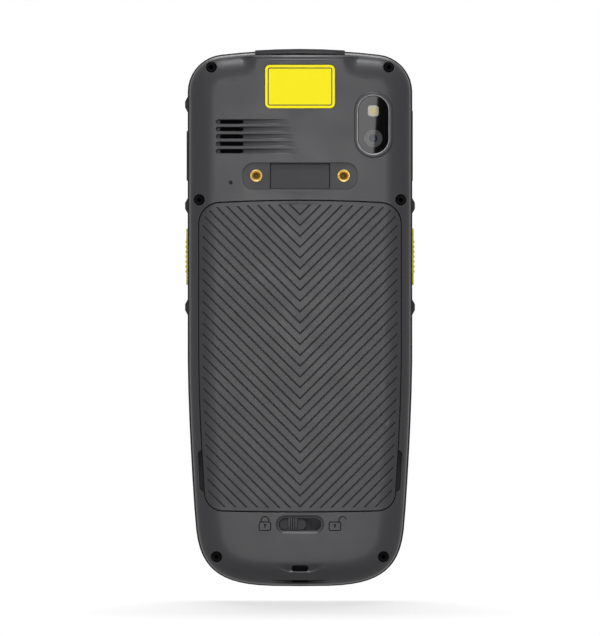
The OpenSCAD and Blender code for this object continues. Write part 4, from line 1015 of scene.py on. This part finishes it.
        def hollows(points, level, shade):
            across, up = np.abs(points[:, 0]), points[:, 1]
            above = up - lip(across)
            deep = 0.5 * (1 - fall_in((across - 3) / 4.2)) * (1 - fall_in((above - 0.4) / 2.6))
            below = step_z - up
            step = (1 - fall_in((across - 3) / 4.4)) * (1 - fall_in((below - 0.3) / 1.5))
            cut = step * np.clip(below / 0.12, 0, 1)
            level -= deep * fall_in(above / 0.7) + cut
            # painted shade in the step below the bar
            shade *= 1 - 0.95 * cut
        face.changes.append(hollows)
        xs = np.linspace(-7.4, 7.4, 30)
        for up in (-0.1, 0, 0.14, 0.28, 0.42, 0.56, 0.7, 0.8, 1.2):
            face.along(np.column_stack([xs, lip(xs) + up]))
        for down in (0, 0.06, 0.12, 0.3, 0.6, 0.9, 1.2):
            face.along(np.column_stack([xs, np.full(30, step_z - down)]))

        def sloping(start):
            return lambda points, here: 4 + 0.5 * (points[:, 1] - start)
        # painted shade in the cord's slot and the notch below the step
        face.sink(rounded(0, 6.4, 5.6, 2.0, 0.98), sloping(5.4), 0.12, 0.8)
        face.sink(box_ring(-2.75, 1.55, 2.75, 2.42), sloping(1.55), 0.08, 0.7)

    def ends(self, face):
        """The yellow plate's seat, and the opening of the scan window in the top end."""
        face.sink(rounded(0, middle("label_plate")[2], 23.6, 14.8, 1.8), BACK - 0.2, 0.08)
        face.hole(rounded(0, rear_top - HUMP_LIP + 2, 29.8, 4, 0.05, 1))


class TERMINAL_OT_battery_cover(bpy.types.Operator):
    """Makes the battery cover with its herringbone of grooves, its ribs, tongues and hook"""
    bl_idname = "terminal.battery_cover"
    bl_label = "Battery cover"

    PITCH = 3.59       # along the body between neighbouring grooves
    WIDTH = 0.43
    BORDER = 1.2       # plain band along the cover's edge
    FIRST = 4.6        # from the cover's top edge down to the first groove's middle
    EDGE = 0.15        # radius of the cover's own edge
    RIM = 0.06         # radius of a groove's edges
    DARK = 0.36        # how much painted shade darkens the floor of a groove
    THICK = 1.6        # of the cover's plate
    SEAT = 2.42        # width of its thicker rim

    def execute(self, context):
        self.border = offset(cover_outline, -self.BORDER)
        face = Face(cover_outline, back_height)
        face.changes.append(self.edge_and_grooves)
        face.follow(cover_outline, 0, -0.02, -0.05, -0.1, -0.15, -0.25)
        face.follow(cover_outline, -1.1, -1.2, -1.25, -1.35, -2.4, -2.45)
        face.grid((-34, cover_z0), (34, cover_z1), GRID)
        for inset in (4.5, 6.0, 8.5):
            ring = offset(rear_outline, -inset)
            for a, b in zip(ring, np.roll(ring, -1, axis=0)):
                part = clipped(a, b, cover_outline)
                if part:
                    face.along(part)
        self.groove_lines(face)
        piece("herringbone_cover",
              joined(face.shell(self.under), *self.tongues(), *self.hook(), *self.ribs()),
              "spark_eroded_polycarbonate_cover", "battery_cover", ["battery_cover"])
        return {"FINISHED"}

    def edge_and_grooves(self, points, level, shade):
        level -= round_over(-distance(points, cover_outline), self.EDGE)
        u = points[:, 1] - (cover_z1 - self.FIRST) - np.abs(points[:, 0])
        a = np.abs((u + self.PITCH / 2) % self.PITCH - self.PITCH / 2) / math.sqrt(2)
        cut = np.clip((self.WIDTH / 2 - a) / WALL_DRAFT, 0, 1)
        inside = np.clip(-distance(points, self.border) / WALL_DRAFT, 0, 1) * (u < self.PITCH / 2)
        depth = settings()[0].groove_depth / MM
        level -= inside * np.maximum(round_over(a - self.WIDTH / 2, self.RIM), cut * depth)
        # painted shade on the groove floors
        shade *= 1 - self.DARK * inside * cut

    def groove_lines(self, face):
        """Mesh edges along both walls of each groove."""
        half = self.WIDTH / 2
        walls = (half + self.RIM + BESIDE, half + self.RIM, half + 0.35 * self.RIM, half,
                 half - WALL_DRAFT)
        for i in range(math.ceil((cover_z1 - cover_z0 + 40) / self.PITCH)):
            tip = cover_z1 - self.FIRST - i * self.PITCH
            for a in [s * wall * math.sqrt(2) for wall in walls for s in (-1, 1)]:
                start = np.array([0.0, tip + a])
                for side in (-1, 1):
                    part = clipped(start, start + (side * 40.0, 40.0), self.border)
                    if part:
                        count = max(2, int(np.linalg.norm(part[1] - part[0]) / 3))
                        face.along(np.linspace(*part, count))

    def under(self, flat, top):
        on_rim = distance(flat, cover_outline) > -self.SEAT
        return np.where(on_rim, COVER_UNDER, back_height(flat) - self.THICK)

    def tongues(self):
        """The tongues that reach under the housing, with painted shade because they lie in the seam."""
        z0, z1 = cover_z1 - 1.8, cover_z1 + 2.1
        tongues = [block((x - TONGUE_HALF, -7.4, z0), (x + TONGUE_HALF, -6.62, z1)) for x in TONGUES]
        for _, _, shade in tongues:
            shade[:] = 0.25
        return tongues

    def hook(self):
        """The hook that the latch's bolt holds."""
        lug = cover_corners[cover_corners[:, 1] > -6.3]
        low, high = lug.min(0), lug.max(0)
        return [block((low[0], -6.8, high[2] - 0.8), high),
                block((low[0], high[1] - 0.8, low[2]), (high[0], high[1], high[2] - 0.78))]

    def ribs(self):
        """Stiffening ribs on the inner side: five across and two along."""
        half = side_at(cover_z1 - 12)
        zs = [cover_z0 + i * (cover_z1 - cover_z0) / 6 for i in range(1, 6)]
        across = [block((2.6 - half, -7.45, z - 0.45), (half - 2.6, -COVER_UNDER, z + 0.45))
                  for z in zs]
        along = [block((x - 0.45, -7.5, cover_z0 + 2.6), (x + 0.45, -COVER_UNDER, cover_z1 - 2.6))
                 for x in (-half / 2, half / 2)]
        return across + along


class TERMINAL_OT_latch(bpy.types.Operator):
    """Makes the latch slider with its ribbed thumb block, and finishes its spring"""
    bl_idname = "terminal.latch"
    bl_label = "Latch"

    PLATE = 8.0        # height of the slider's plate
    VALLEY = 8.35      # height of the thumb block between its ribs
    RIB = 0.44         # height of its ribs
    HALF = 2.15        # half the length of the thumb block

    def execute(self, context):
        corners = cad_points("latch_slider")
        low, high = corners.min(0), corners.max(0)
        plate = corners[corners[:, 1] < -7.3]
        x0, x1 = plate[:, 0].min(), plate[:, 0].max()
        thumb = corners[corners[:, 1] < -8.3]
        t0, t1 = thumb[:, 0].min(), thumb[:, 0].max()
        face = Face(rounded((x0 + x1) / 2, latch_z, x1 - x0, 3.9, 1.94, 12), self.PLATE)
        face.edge(0.15)

        # painted shade on the slider's plate, which lies in the recess
        def painted_recess_shade(points, level, shade):
            shade *= np.where(points[:, 0] < t0, 0.58, 0.66)
        face.changes.append(painted_recess_shade)
        guide = slab(rounded_box(low, (high[0], 0, 2 * latch_z - low[2]), 0.6), -6.95, -6.2)
        # painted shade on the guide, deep in the slot
        guide[2][:] = INSIDE_SHADE
        b0, b1 = bolt_box()
        bolt_ring = rounded_box((b0[0], 0, 2 * (latch_z + 2) - b1[2]), b1, 0.3)
        piece("ribbed_latch",
              joined(face.shell(6.9), self.thumb(t0, t1), guide, slab(bolt_ring, -6.25, b1[1])),
              "moulded_glass_filled_nylon", "latch_slider", ["latch_slider"])
        dressed("phosphated_spring_steel", "latch_spring")
        return {"FINISHED"}

    def thumb(self, x0, x1):
        """The block with four ribs whose lower ends are scalloped."""
        z0, z1 = latch_z - self.HALF, latch_z + self.HALF
        pitch = (x1 - x0 - 0.5) / 4
        crests = [x0 + 0.25 + pitch * (i + 0.5) for i in range(4)]
        scallops = [arc(x, z0 + 0.3, pitch / 2 - 0.01, 180, 360, 7) for x in crests]
        head = [(x1 - 0.05, z1 - 0.3), (x1 - 0.35, z1), (x0 + 0.35, z1), (x0 + 0.05, z1 - 0.3)]

        def ribbed(points):
            wave = np.min([np.abs(points[:, 0] - x) for x in crests], axis=0) / (pitch / 2)
            crest = 1 - fall_in((wave - 0.58) / 0.4)
            end = fall_in((points[:, 1] - (z0 - 0.1)) / 0.5)
            return self.VALLEY + self.RIB * crest * (0.4 + 0.6 * end)

        # painted shade in the valleys between the ribs
        def shaded(points, level, shade):
            shade *= 0.5 + 0.5 * np.clip((level - self.VALLEY - 0.01) / 0.2, 0, 1)
        face = Face(np.concatenate([*scallops, head]), ribbed)
        face.changes.append(shaded)
        face.edge(0.12)
        for x in crests:
            for part in (-0.97, -0.88, -0.78, -0.68, -0.58, 0.58, 0.68, 0.78, 0.88, 0.97):
                at = x + part * pitch / 2
                face.along([(at, z0), (at, z1 - 0.2)])
        return face.shell(self.PLATE - 0.05)


CAMERA_FACE = -8.95               # Y of the camera window's outer face
PRINT_FRONT = CAMERA_FACE - 0.02  # a print is drawn just in front of the glass
PRINT_BACK = CAMERA_FACE + 0.02


class TERMINAL_OT_camera(bpy.types.Operator):
    """Makes the camera window with its prints, the trim round it and what lies behind it"""
    bl_idname = "terminal.camera"
    bl_label = "Camera"

    # the trim's section, as [distance outwards, Y]
    TRIM = ((0.12, -8.2), (0.12, CAMERA_FACE + 0.08), (0, -8.98), (-0.1, -8.99),
            (-0.18, CAMERA_FACE + 0.02), (-0.18, -8.2))

    def execute(self, context):
        low, high = cad_box_mm("camera_window")
        ring = rounded_box(low, high, (high[0] - low[0]) / 2, 14)
        glass = Face(offset(ring, -0.2), -CAMERA_FACE)
        glass.edge(0.12)
        piece("camera_glass", glass.shell(-high[1]), "anti_reflex_glass_over_ink", "camera_window",
              ["camera_window"])
        piece("bright_trim", swept(ring, self.TRIM), "brushed_anodised_aluminium", "camera_trim",
              ["camera_trim"])
        z = (low[2] + high[2]) / 2
        lens_x, lens_z = middle("camera_module")[0], z - LENS_SHIFT
        flash = offset(rounded(middle("flash_lens")[0], z + LENS_SHIFT, 3.7, 3.7, 1.1), -0.4)
        border = [(0, PRINT_BACK), (0.4, PRINT_BACK), (0.4, PRINT_FRONT), (0, PRINT_FRONT)]
        # a blue disc off the lens's middle: painted reflection of the glint on the lens's coat
        inner_lens = turned(self.disc(0, 0.55), lens_x + 0.25, lens_z - 0.2, 32)
        for name, made_of, ink in (
                ("lens_ring", turned(self.disc(1.4, 3.0), lens_x, lens_z, 64), "grey_ink_under_glass"),
                ("lens_glass", turned(self.disc(0, 1.38), lens_x, lens_z, 48), "coated_lens_glass"),
                ("inner_lens", moved(inner_lens, (0, -0.01, 0)), "blue_coated_inner_lens"),
                ("flash_border", swept(flash, border), "white_ink_under_glass"),
                ("flash_field", slab(flash, PRINT_FRONT, PRINT_BACK), "flash_behind_glass")):
            piece(name, made_of, ink, "camera_window")
        dressed("moulded_lcp_black", "camera_module")
        dressed("phosphor_behind_polycarbonate", "flash_lens")
        return {"FINISHED"}

    def disc(self, r0, r1):
        """Profile of a thin print between two radii."""
        outer = [(r0, PRINT_FRONT), (r1, PRINT_FRONT), (r1, PRINT_BACK), (r0, PRINT_BACK)]
        return [outer[-1], *outer] if r0 else outer


class TERMINAL_OT_plate(bpy.types.Operator):
    """Makes the plain yellow plate with its thin border line and a hairline along its edge"""
    bl_idname = "terminal.plate"
    bl_label = "Yellow plate"

    # each line's distance inside the edge, and its width
    LINES = ((0.06, 0.06), (1.26, 0.32))

    def execute(self, context):
        low, high = cad_box_mm("label_plate")
        ring = rounded_box(low, high, 1.7)
        film = Face(ring, -low[1])
        film.edge(0.05)
        piece("yellow_film", film.shell(-high[1]), "printed_polyester_film", "label_plate",
              ["label_plate"])
        front, back = low[1] - 0.015, low[1] + 0.02
        lines = [swept(offset(ring, -inset), [(0, back), (width, back), (width, front), (0, front)])
                 for inset, width in self.LINES]
        piece("film_border", joined(*lines), "printed_border_ink", "label_plate")
        return {"FINISHED"}


class TERMINAL_OT_strap_inserts(bpy.types.Operator):
    """Makes the two turned brass inserts of the hand strap"""
    bl_idname = "terminal.strap_inserts"
    bl_label = "Strap inserts"

    # the bore from its floor to its mouth, as [radius, depth]
    BORE = ((0, 3.2), (0.75, 2.6), (0.8, 1.5), (1.0, 1.0), (1.3, 0.55), (1.6, 0.2), (1.76, 0.05),
            (1.84, 0))

    def execute(self, context):
        low, high = cad_box_mm("strap_inserts")
        r = (high[2] - low[2]) / 2
        y = low[1]
        profile = [(radius, y + deep) for radius, deep in (*self.BORE, (r - 0.06, 0), (r, 0.06))]
        profile += [(r, high[1]), (0, high[1])]
        z = (low[2] + high[2]) / 2
        points, faces, _ = joined(*[turned(profile, side * (high[0] - r), z, 64) for side in (-1, 1)])
        # painted shade down the bore
        shade = np.interp(points[:, 1], (y + 0.2, y + 1.2, y + 1.8), (1.0, 0.7, 0.4))
        piece("turned_inserts", (points, faces, shade), "turned_brass", "strap_inserts",
              ["strap_inserts"])
        return {"FINISHED"}


class TERMINAL_OT_screws(bpy.types.Operator):
    """Makes the six housing screws with their six-lobed sockets"""
    bl_idname = "terminal.screws"
    bl_label = "Housing screws"

    HEAD = 1.65        # radius of a screw's head
    SHANK = 0.79       # radius of its shank

    def execute(self, context):
        low, high = cad_box_mm("housing_screws")
        angles = np.arange(72) * 2 * math.pi / 72
        radius = 0.78 + 0.14 * np.cos(6 * angles)
        lobes = np.column_stack([radius * np.cos(angles), radius * np.sin(angles)])
        shank = [(0, -5.5), (self.SHANK, -5.5), (self.SHANK, high[1] - 0.5), (0.5, high[1]),
                 (0, high[1])]
        parts = []
        for x, z in screw_places():
            for side in (-1, 1):
                head = Face(circle(side * x, z, self.HEAD, 48), -low[1])
                head.edge(0.25)
                # painted shade in the six-lobed socket
                head.sink(lobes + (side * x, z), -low[1] - 0.9, 0.08, 0.8)
                parts += [head.shell(SCREW_SEAT), turned(shank, side * x, z, 24)]
        piece("housing_screws_six_lobe", joined(*parts), "black_zinc_plated_steel", "housing_screws",
              ["housing_screws"])
        return {"FINISHED"}


class TERMINAL_OT_side_keys(bpy.types.Operator):
    """Finishes the scan keys, the volume key and the connector flap on the edges"""
    bl_idname = "terminal.side_keys"
    bl_label = "Side keys and flap"

    ROUNDING = 0.12    # radius of their edges

    def execute(self, context):
        scan_keys = ("scan_key_left", "scan_key_right")
        softened("moulded_silicone_yellow", self.ROUNDING, *scan_keys)
        softened("moulded_elastomer_black", self.ROUNDING, "volume_key", "port_flap")
        # a web of the seal on the inner side of each scan key, which closes the gap beside it
        webs = []
        for node in scan_keys:
            low, high = cad_box_mm(node)
            side = 1 if low[0] > 0 else -1
            inner = min(abs(low[0]), abs(high[0]))
            x0, x1 = sorted((side * (inner - 0.2), side * (inner + 0.5)))
            webs.append(block((x0, low[1] - 1.3, low[2] + 0.4), (x1, low[1] - 0.04, high[2] - 0.4)))
        piece("key_webs", joined(*webs), "moulded_elastomer_black", "housing_gasket")
        return {"FINISHED"}


class TERMINAL_OT_front(bpy.types.Operator):
    """Finishes the front housing, the display and the small openings above it"""
    bl_idname = "terminal.front"
    bl_label = "Front and display"

    def execute(self, context):
        dressed("blasted_polycarbonate_front", "front_housing", sharp=28)
        low, high = cad_box_mm("display_glass")
        glass = Face(rounded_box(low, high, 3, 12), high[1])
        glass.edge(0.15)
        piece("cover_glass", glass.shell(low[1], 1), "toughened_glass_over_ink", "display_glass",
              ["display_glass"])
        lit = rounded(0, (low[2] + high[2]) / 2 + 1, high[0] - low[0] - 5.4, high[2] - low[2] - 12, 0.4)
        piece("display_area", slab(lit, high[1] - 0.02, high[1] + 0.02), "panel_under_glass",
              "display_glass")
        dressed("display_tray", "display_module")
        dressed("moulded_lcp_black", "earpiece")
        dressed("woven_steel_cloth", "earpiece_mesh")
        dressed("frosted_light_guide", "status_light")
        return {"FINISHED"}


class TERMINAL_OT_keypad(bpy.types.Operator):
    """Makes the front key caps with their plain figures and arrows"""
    bl_idname = "terminal.keypad"
    bl_label = "Keypad"

    DIGITS = {"zero": "0", "one": "1", "two": "2", "three": "3", "four": "4", "five": "5", "six": "6",
              "seven": "7", "eight": "8", "nine": "9", "star": "*", "hash": "#"}
    PILLOW = 0.3       # how far a cap's top is crowned
    PROUD = 0.012      # how far a print stands out
    ROOT = -0.05       # where it starts, inside the cap

    def execute(self, context):
        for node in sorted(n for n in frame["nodes"] if n.startswith("key_")):
            self.cap(node, node.removeprefix("key_"))
        return {"FINISHED"}

    def cap(self, node, key):
        corners = cad_points(node)
        low, high = corners.min(0), corners.max(0)
        top = corners[corners[:, 1] > high[1] - 1.2]
        t0, t1 = top.min(0), top.max(0)
        centre, half = ((t0 + t1) / 2)[[0, 2]], ((t1 - t0) / 2)[[0, 2]]

        def crowned(points):
            return high[1] - self.PILLOW * (((points - centre) / half) ** 2 @ (0.45, 0.55))
        face = Face(rounded_box(t0, t1, 1.6), crowned)
        face.edge(0.45)
        face.grid(t0[[0, 2]], t1[[0, 2]], 1.0)
        flange = corners[corners[:, 1] < low[1] + 0.3]
        skirt = slab(rounded_box(flange.min(0), flange.max(0), 1.2), low[1], low[1] + 0.7)
        plastic = "moulded_silicone_yellow" if key == "scan" else "blasted_abs_key"
        piece(node + "_cap_moulding", joined(face.shell(low[1] + 0.2, 1), skirt), plastic, node, [node])
        figure = self.figure(key, *centre)
        if figure:
            piece(node + "_figure", moved(figure, (0, high[1], 0)), "pad_printed_legend", node)

    def figure(self, key, x, z):
        """Print of a key as a thin solid whose Y is its height over the cap."""
        size = settings()[0].legend / MM
        if key in self.DIGITS:
            return self.digit(self.DIGITS[key], x, z, size)
        # each line of a sign, in shares of half its size
        paths = {
            "up": [[(-1, -0.5), (0, 0.5), (1, -0.5)]],
            "down": [[(-1, 0.5), (0, -0.5), (1, 0.5)]],
            "clear": [[(-1, -1), (1, 1)], [(-1, 1), (1, -1)]],
            "menu": [[(-1, d), (1, d)] for d in (-0.75, 0, 0.75)],
            "back": [[(-1.1, 0), (1.1, 0)], [(-0.4, 0.7), (-1.1, 0), (-0.4, -0.7)]],
            "enter": [[(1, 1), (1, -0.3), (-1, -0.3)], [(-0.4, 0.3), (-1, -0.3), (-0.4, -0.9)]],
        }
        half, thick = size * 0.36, size * 0.11
        parts = []
        for path in paths.get(key, ()):
            # seen from the front, +X is on the left
            path = np.array([x, z]) + np.array(path) * (-half, half)
            for a, b in zip(path, path[1:]):
                beyond = (b - a) / np.linalg.norm(b - a) * thick / 2
                ring = stroke(np.linspace(a - beyond, b + beyond, 6), thick)
                parts.append(slab(ring, self.ROOT, self.PROUD + 0.002 * len(parts)))
        return joined(*parts) if parts else None

    def digit(self, text, x, z, size):
        curve = bpy.data.curves.new("figure", "FONT")
        curve.body = text
        curve.size = size * 1.35
        curve.align_x = "CENTER"
        curve.align_y = "CENTER"
        holder = linked("figure", curve)
        bpy.context.view_layer.update()
        evaluated = holder.evaluated_get(bpy.context.evaluated_depsgraph_get())
        mesh = bpy.data.meshes.new_from_object(evaluated)
        bpy.data.objects.remove(holder)
        bpy.data.curves.remove(curve)
        flat = np.array([v.co[:2] for v in mesh.vertices])
        flat -= (flat.min(0) + flat.max(0)) / 2
        faces = [tuple(p.vertices) for p in mesh.polygons]
        bpy.data.meshes.remove(mesh)
        n = len(flat)
        rows = [np.column_stack([x - flat[:, 0], np.full(n, y), z + flat[:, 1]])
                for y in (self.PROUD, self.ROOT)]
        edges = dict.fromkeys(edge for face in faces for edge in zip(face, face[1:] + face[:1]))
        skirt = [(b, a, a + n, b + n) for a, b in edges if (b, a) not in edges]
        back = [tuple(i + n for i in face[::-1]) for face in faces]
        return solid(np.concatenate(rows), faces + back + skirt)


class TERMINAL_OT_battery(bpy.types.Operator):
    """Makes the sleeved battery pack and finishes its contact block and the seals"""
    bl_idname = "terminal.battery"
    bl_label = "Battery"

    def execute(self, context):
        low, high = cad_box_mm("battery_pack")
        ring = rounded_box(low, high, 2.2, 10)

        def pillow(points):
            return -low[1] - 0.25 * (1 - fall_in(-distance(points, ring) / 6))
        pack = Face(ring, pillow)
        pack.edge(0.9)
        pack.grid(low[[0, 2]], high[[0, 2]], 4.0)
        # the sleeve's lengthwise seam
        seam = box_ring(high[0] - 9, low[2] + 1.5, high[0] - 7.2, high[2] - 1.5)
        pack.rise(seam, -low[1] - 0.02, 0.1)
        piece("sleeved_battery", pack.shell(-high[1]), "shrink_sleeve", "battery_pack",
              ["battery_pack"])
        dressed("moulded_lcp_black", "battery_contacts")
        dressed("silicone_seal", "housing_gasket", "cover_gasket")
        return {"FINISHED"}


class TERMINAL_OT_inside(bpy.types.Operator):
    """Finishes the scan window and the pieces inside the housing"""
    bl_idname = "terminal.inside"
    bl_label = "Scan window and inner pieces"

    def execute(self, context):
        softened("infrared_polycarbonate", 0.08, "scan_window")
        dressed("moulded_lcp_black", "scan_engine", "speaker", "side_switches", "microphone")
        dressed("woven_steel_cloth", "speaker_mesh")
        dressed("solder_masked_laminate", "main_board", "keypad_board")
        dressed("copper_on_polyimide", "antenna")
        dressed("tinned_steel", "shield_cans")
        dressed("nickel_plated", "usb_socket", "vibration_motor")
        dressed("silicone_mat", "keypad_mat")
        return {"FINISHED"}


FLOOR_DROP = 4.0      # how far the rounded end hovers over the floor


def seen(tree):
    """1 where the camera, a mirror-like surface or glass looks, 0 for light that only fills in."""
    rays = add(tree, "ShaderNodeLightPath").outputs
    found = rays["Is Camera Ray"]
    for other in ("Is Glossy Ray", "Is Transmission Ray"):
        found = add(tree, "ShaderNodeMath", {0: found, 1: rays[other]}, operation="MAXIMUM")
    return found


class TERMINAL_OT_stage(bpy.types.Operator):
    """Sets the floor, the lights, the world and the camera"""
    bl_idname = "terminal.stage"
    bl_label = "Stage"

    LENS = 250.0
    SENSOR = 36.0
    FRAME_H = 636 / 3      # millimetres that the picture's height takes in
    MIDDLE_Z = (586.6 - 318) / 3
    TRUE_SIZE = 2.5        # height over the parting plane at which the picture's scale holds
    FLOOR_SIZE = 6.0       # metres from the middle to the floor's edge

    def execute(self, context):
        self.floor()
        self.world()
        self.lamp("softbox_front_above", (0, -708, 1220), (0, 0, 130), 600, 400, 13.0)
        self.lamp("softbox_behind", (0, 420, 900), (0, 0, 120), 700, 300, 5.0)
        self.lamp("strip_behind_camera", (0, -1600, -105), (0, 0, -105), 200, 590, 8.2)
        self.lamp("strip_beside_camera", (-2, -1600, 221), (0, 0, 150), 108, 110, 1.5, 4)
        camera = bpy.data.cameras.new("camera")
        camera.lens = self.LENS
        camera.sensor_width = self.SENSOR
        camera.clip_end = 20
        holder = linked("camera", camera)
        away = self.FRAME_H * MM / (self.SENSOR / self.LENS) + self.TRUE_SIZE * MM
        holder.location = (0, -away, self.MIDDLE_Z * MM)
        holder.rotation_euler = (math.radians(90), 0, 0)
        context.scene.camera = holder
        context.scene.view_settings.view_transform = "Standard"
        return {"FINISHED"}

    def lamp(self, name, place, target, width, height, power, roll=0):
        """A rectangular lamp. Places and sizes are in millimetres, power in watts, roll in degrees."""
        light = bpy.data.lights.new(name, "AREA")
        light.shape = "RECTANGLE"
        light.size = width * MM
        light.size_y = height * MM
        light.energy = power
        holder = linked(name, light)
        holder.location = Vector(place) * MM
        aim = (Vector(target) - Vector(place)).to_track_quat("-Z", "Y").to_matrix()
        holder.rotation_euler = (aim @ Matrix.Rotation(math.radians(-roll), 3, "Z")).to_euler()

    def floor(self):
        """A pale floor, white to the eye. Only a patch in front of the body takes its soft shadow."""
        mesh = bpy.data.meshes.new("floor")
        far = self.FLOOR_SIZE
        corners = [(x * far, y * far, -FLOOR_DROP * MM) for x, y in ((-1, -1), (1, -1), (1, 1), (-1, 1))]
        mesh.from_pydata(corners, [], [(0, 1, 2, 3)])
        white = bpy.data.materials.new("matt_white_floor")
        tree = empty_tree(white)
        diffuse = add(tree, "ShaderNodeBsdfDiffuse", {"Color": (0.8, 0.8, 0.8, 1)})
        glow = add(tree, "ShaderNodeEmission", {"Strength": 0.2})
        lit = add(tree, "ShaderNodeAddShader", {0: diffuse, 1: glow})
        plain = add(tree, "ShaderNodeEmission", {"Strength": 1.0})
        place = add(tree, "ShaderNodeTexCoord").outputs["Object"]
        axes = add(tree, "ShaderNodeSeparateXYZ", {0: place}).outputs
        across = add(tree, "ShaderNodeMath", {0: axes["X"]}, operation="ABSOLUTE").outputs[0]
        # the patch in metres: it fades in over Y, fades out to both sides and ends below the body
        patch, *fades = [
            add(tree, "ShaderNodeMapRange", {0: axis, 1: start, 2: end, 3: before, 4: after},
                interpolation_type=way)
            for axis, start, end, before, after, way in (
                (axes["Y"], -0.2, -0.08, 0.0, 1.0, "SMOOTHSTEP"),
                (across, 0.06, 0.14, 1.0, 0.0, "SMOOTHSTEP"),
                (axes["Y"], -0.02, -0.01, 1.0, 0.0, "LINEAR"))]
        for fade in fades:
            patch = add(tree, "ShaderNodeMath", {0: patch, 1: fade}, operation="MULTIPLY")
        shown = add(tree, "ShaderNodeMixShader", {0: patch, 1: plain, 2: lit})
        both = add(tree, "ShaderNodeMixShader", {0: seen(tree), 1: diffuse, 2: shown})
        add(tree, "ShaderNodeOutputMaterial", {"Surface": both})
        mesh.materials.append(white)
        linked("floor", mesh)

    def world(self):
        """White to the eye, and a weak even light on the object."""
        world = bpy.data.worlds.new("studio")
        tree = empty_tree(world)
        soft, white = (add(tree, "ShaderNodeBackground", {"Color": (1, 1, 1, 1), "Strength": strength})
                       for strength in (0.12, 1.0))
        mix = add(tree, "ShaderNodeMixShader", {0: seen(tree), 1: soft, 2: white})
        add(tree, "ShaderNodeOutputWorld", {"Surface": mix})
        bpy.context.scene.world = world


OPERATORS = (
    TERMINAL_OT_rear_housing,
    TERMINAL_OT_battery_cover,
    TERMINAL_OT_latch,
    TERMINAL_OT_camera,
    TERMINAL_OT_plate,
    TERMINAL_OT_strap_inserts,
    TERMINAL_OT_screws,
    TERMINAL_OT_side_keys,
    TERMINAL_OT_front,
    TERMINAL_OT_keypad,
    TERMINAL_OT_battery,
    TERMINAL_OT_inside,
    TERMINAL_OT_stage,
)


class TERMINAL_PT_build(bpy.types.Panel):
    """Lists the steps that build the terminal"""
    bl_label = "Terminal"
    bl_idname = "TERMINAL_PT_build"
    bl_space_type = "VIEW_3D"
    bl_region_type = "UI"
    bl_category = "Terminal"

    def draw(self, context):
        for group in (context.scene.terminal_sizes, context.scene.terminal_colours):
            for name in group.bl_rna.properties.keys():
                if name not in ("rna_type", "name"):
                    self.layout.prop(group, name)
        for step in OPERATORS:
            self.layout.operator(step.bl_idname)


CLASSES = (TerminalSizes, TerminalColours, *OPERATORS, TERMINAL_PT_build)


def register():
    for one in CLASSES:
        bpy.utils.register_class(one)
    bpy.types.Scene.terminal_sizes = PointerProperty(type=TerminalSizes)
    bpy.types.Scene.terminal_colours = PointerProperty(type=TerminalColours)


def unregister():
    del bpy.types.Scene.terminal_colours
    del bpy.types.Scene.terminal_sizes
    for one in reversed(CLASSES):
        bpy.utils.unregister_class(one)


def main():
    register()
    for step in OPERATORS:
        group, name = step.bl_idname.split(".")
        getattr(getattr(bpy.ops, group), name)()


if __name__ == "__main__":
    main()
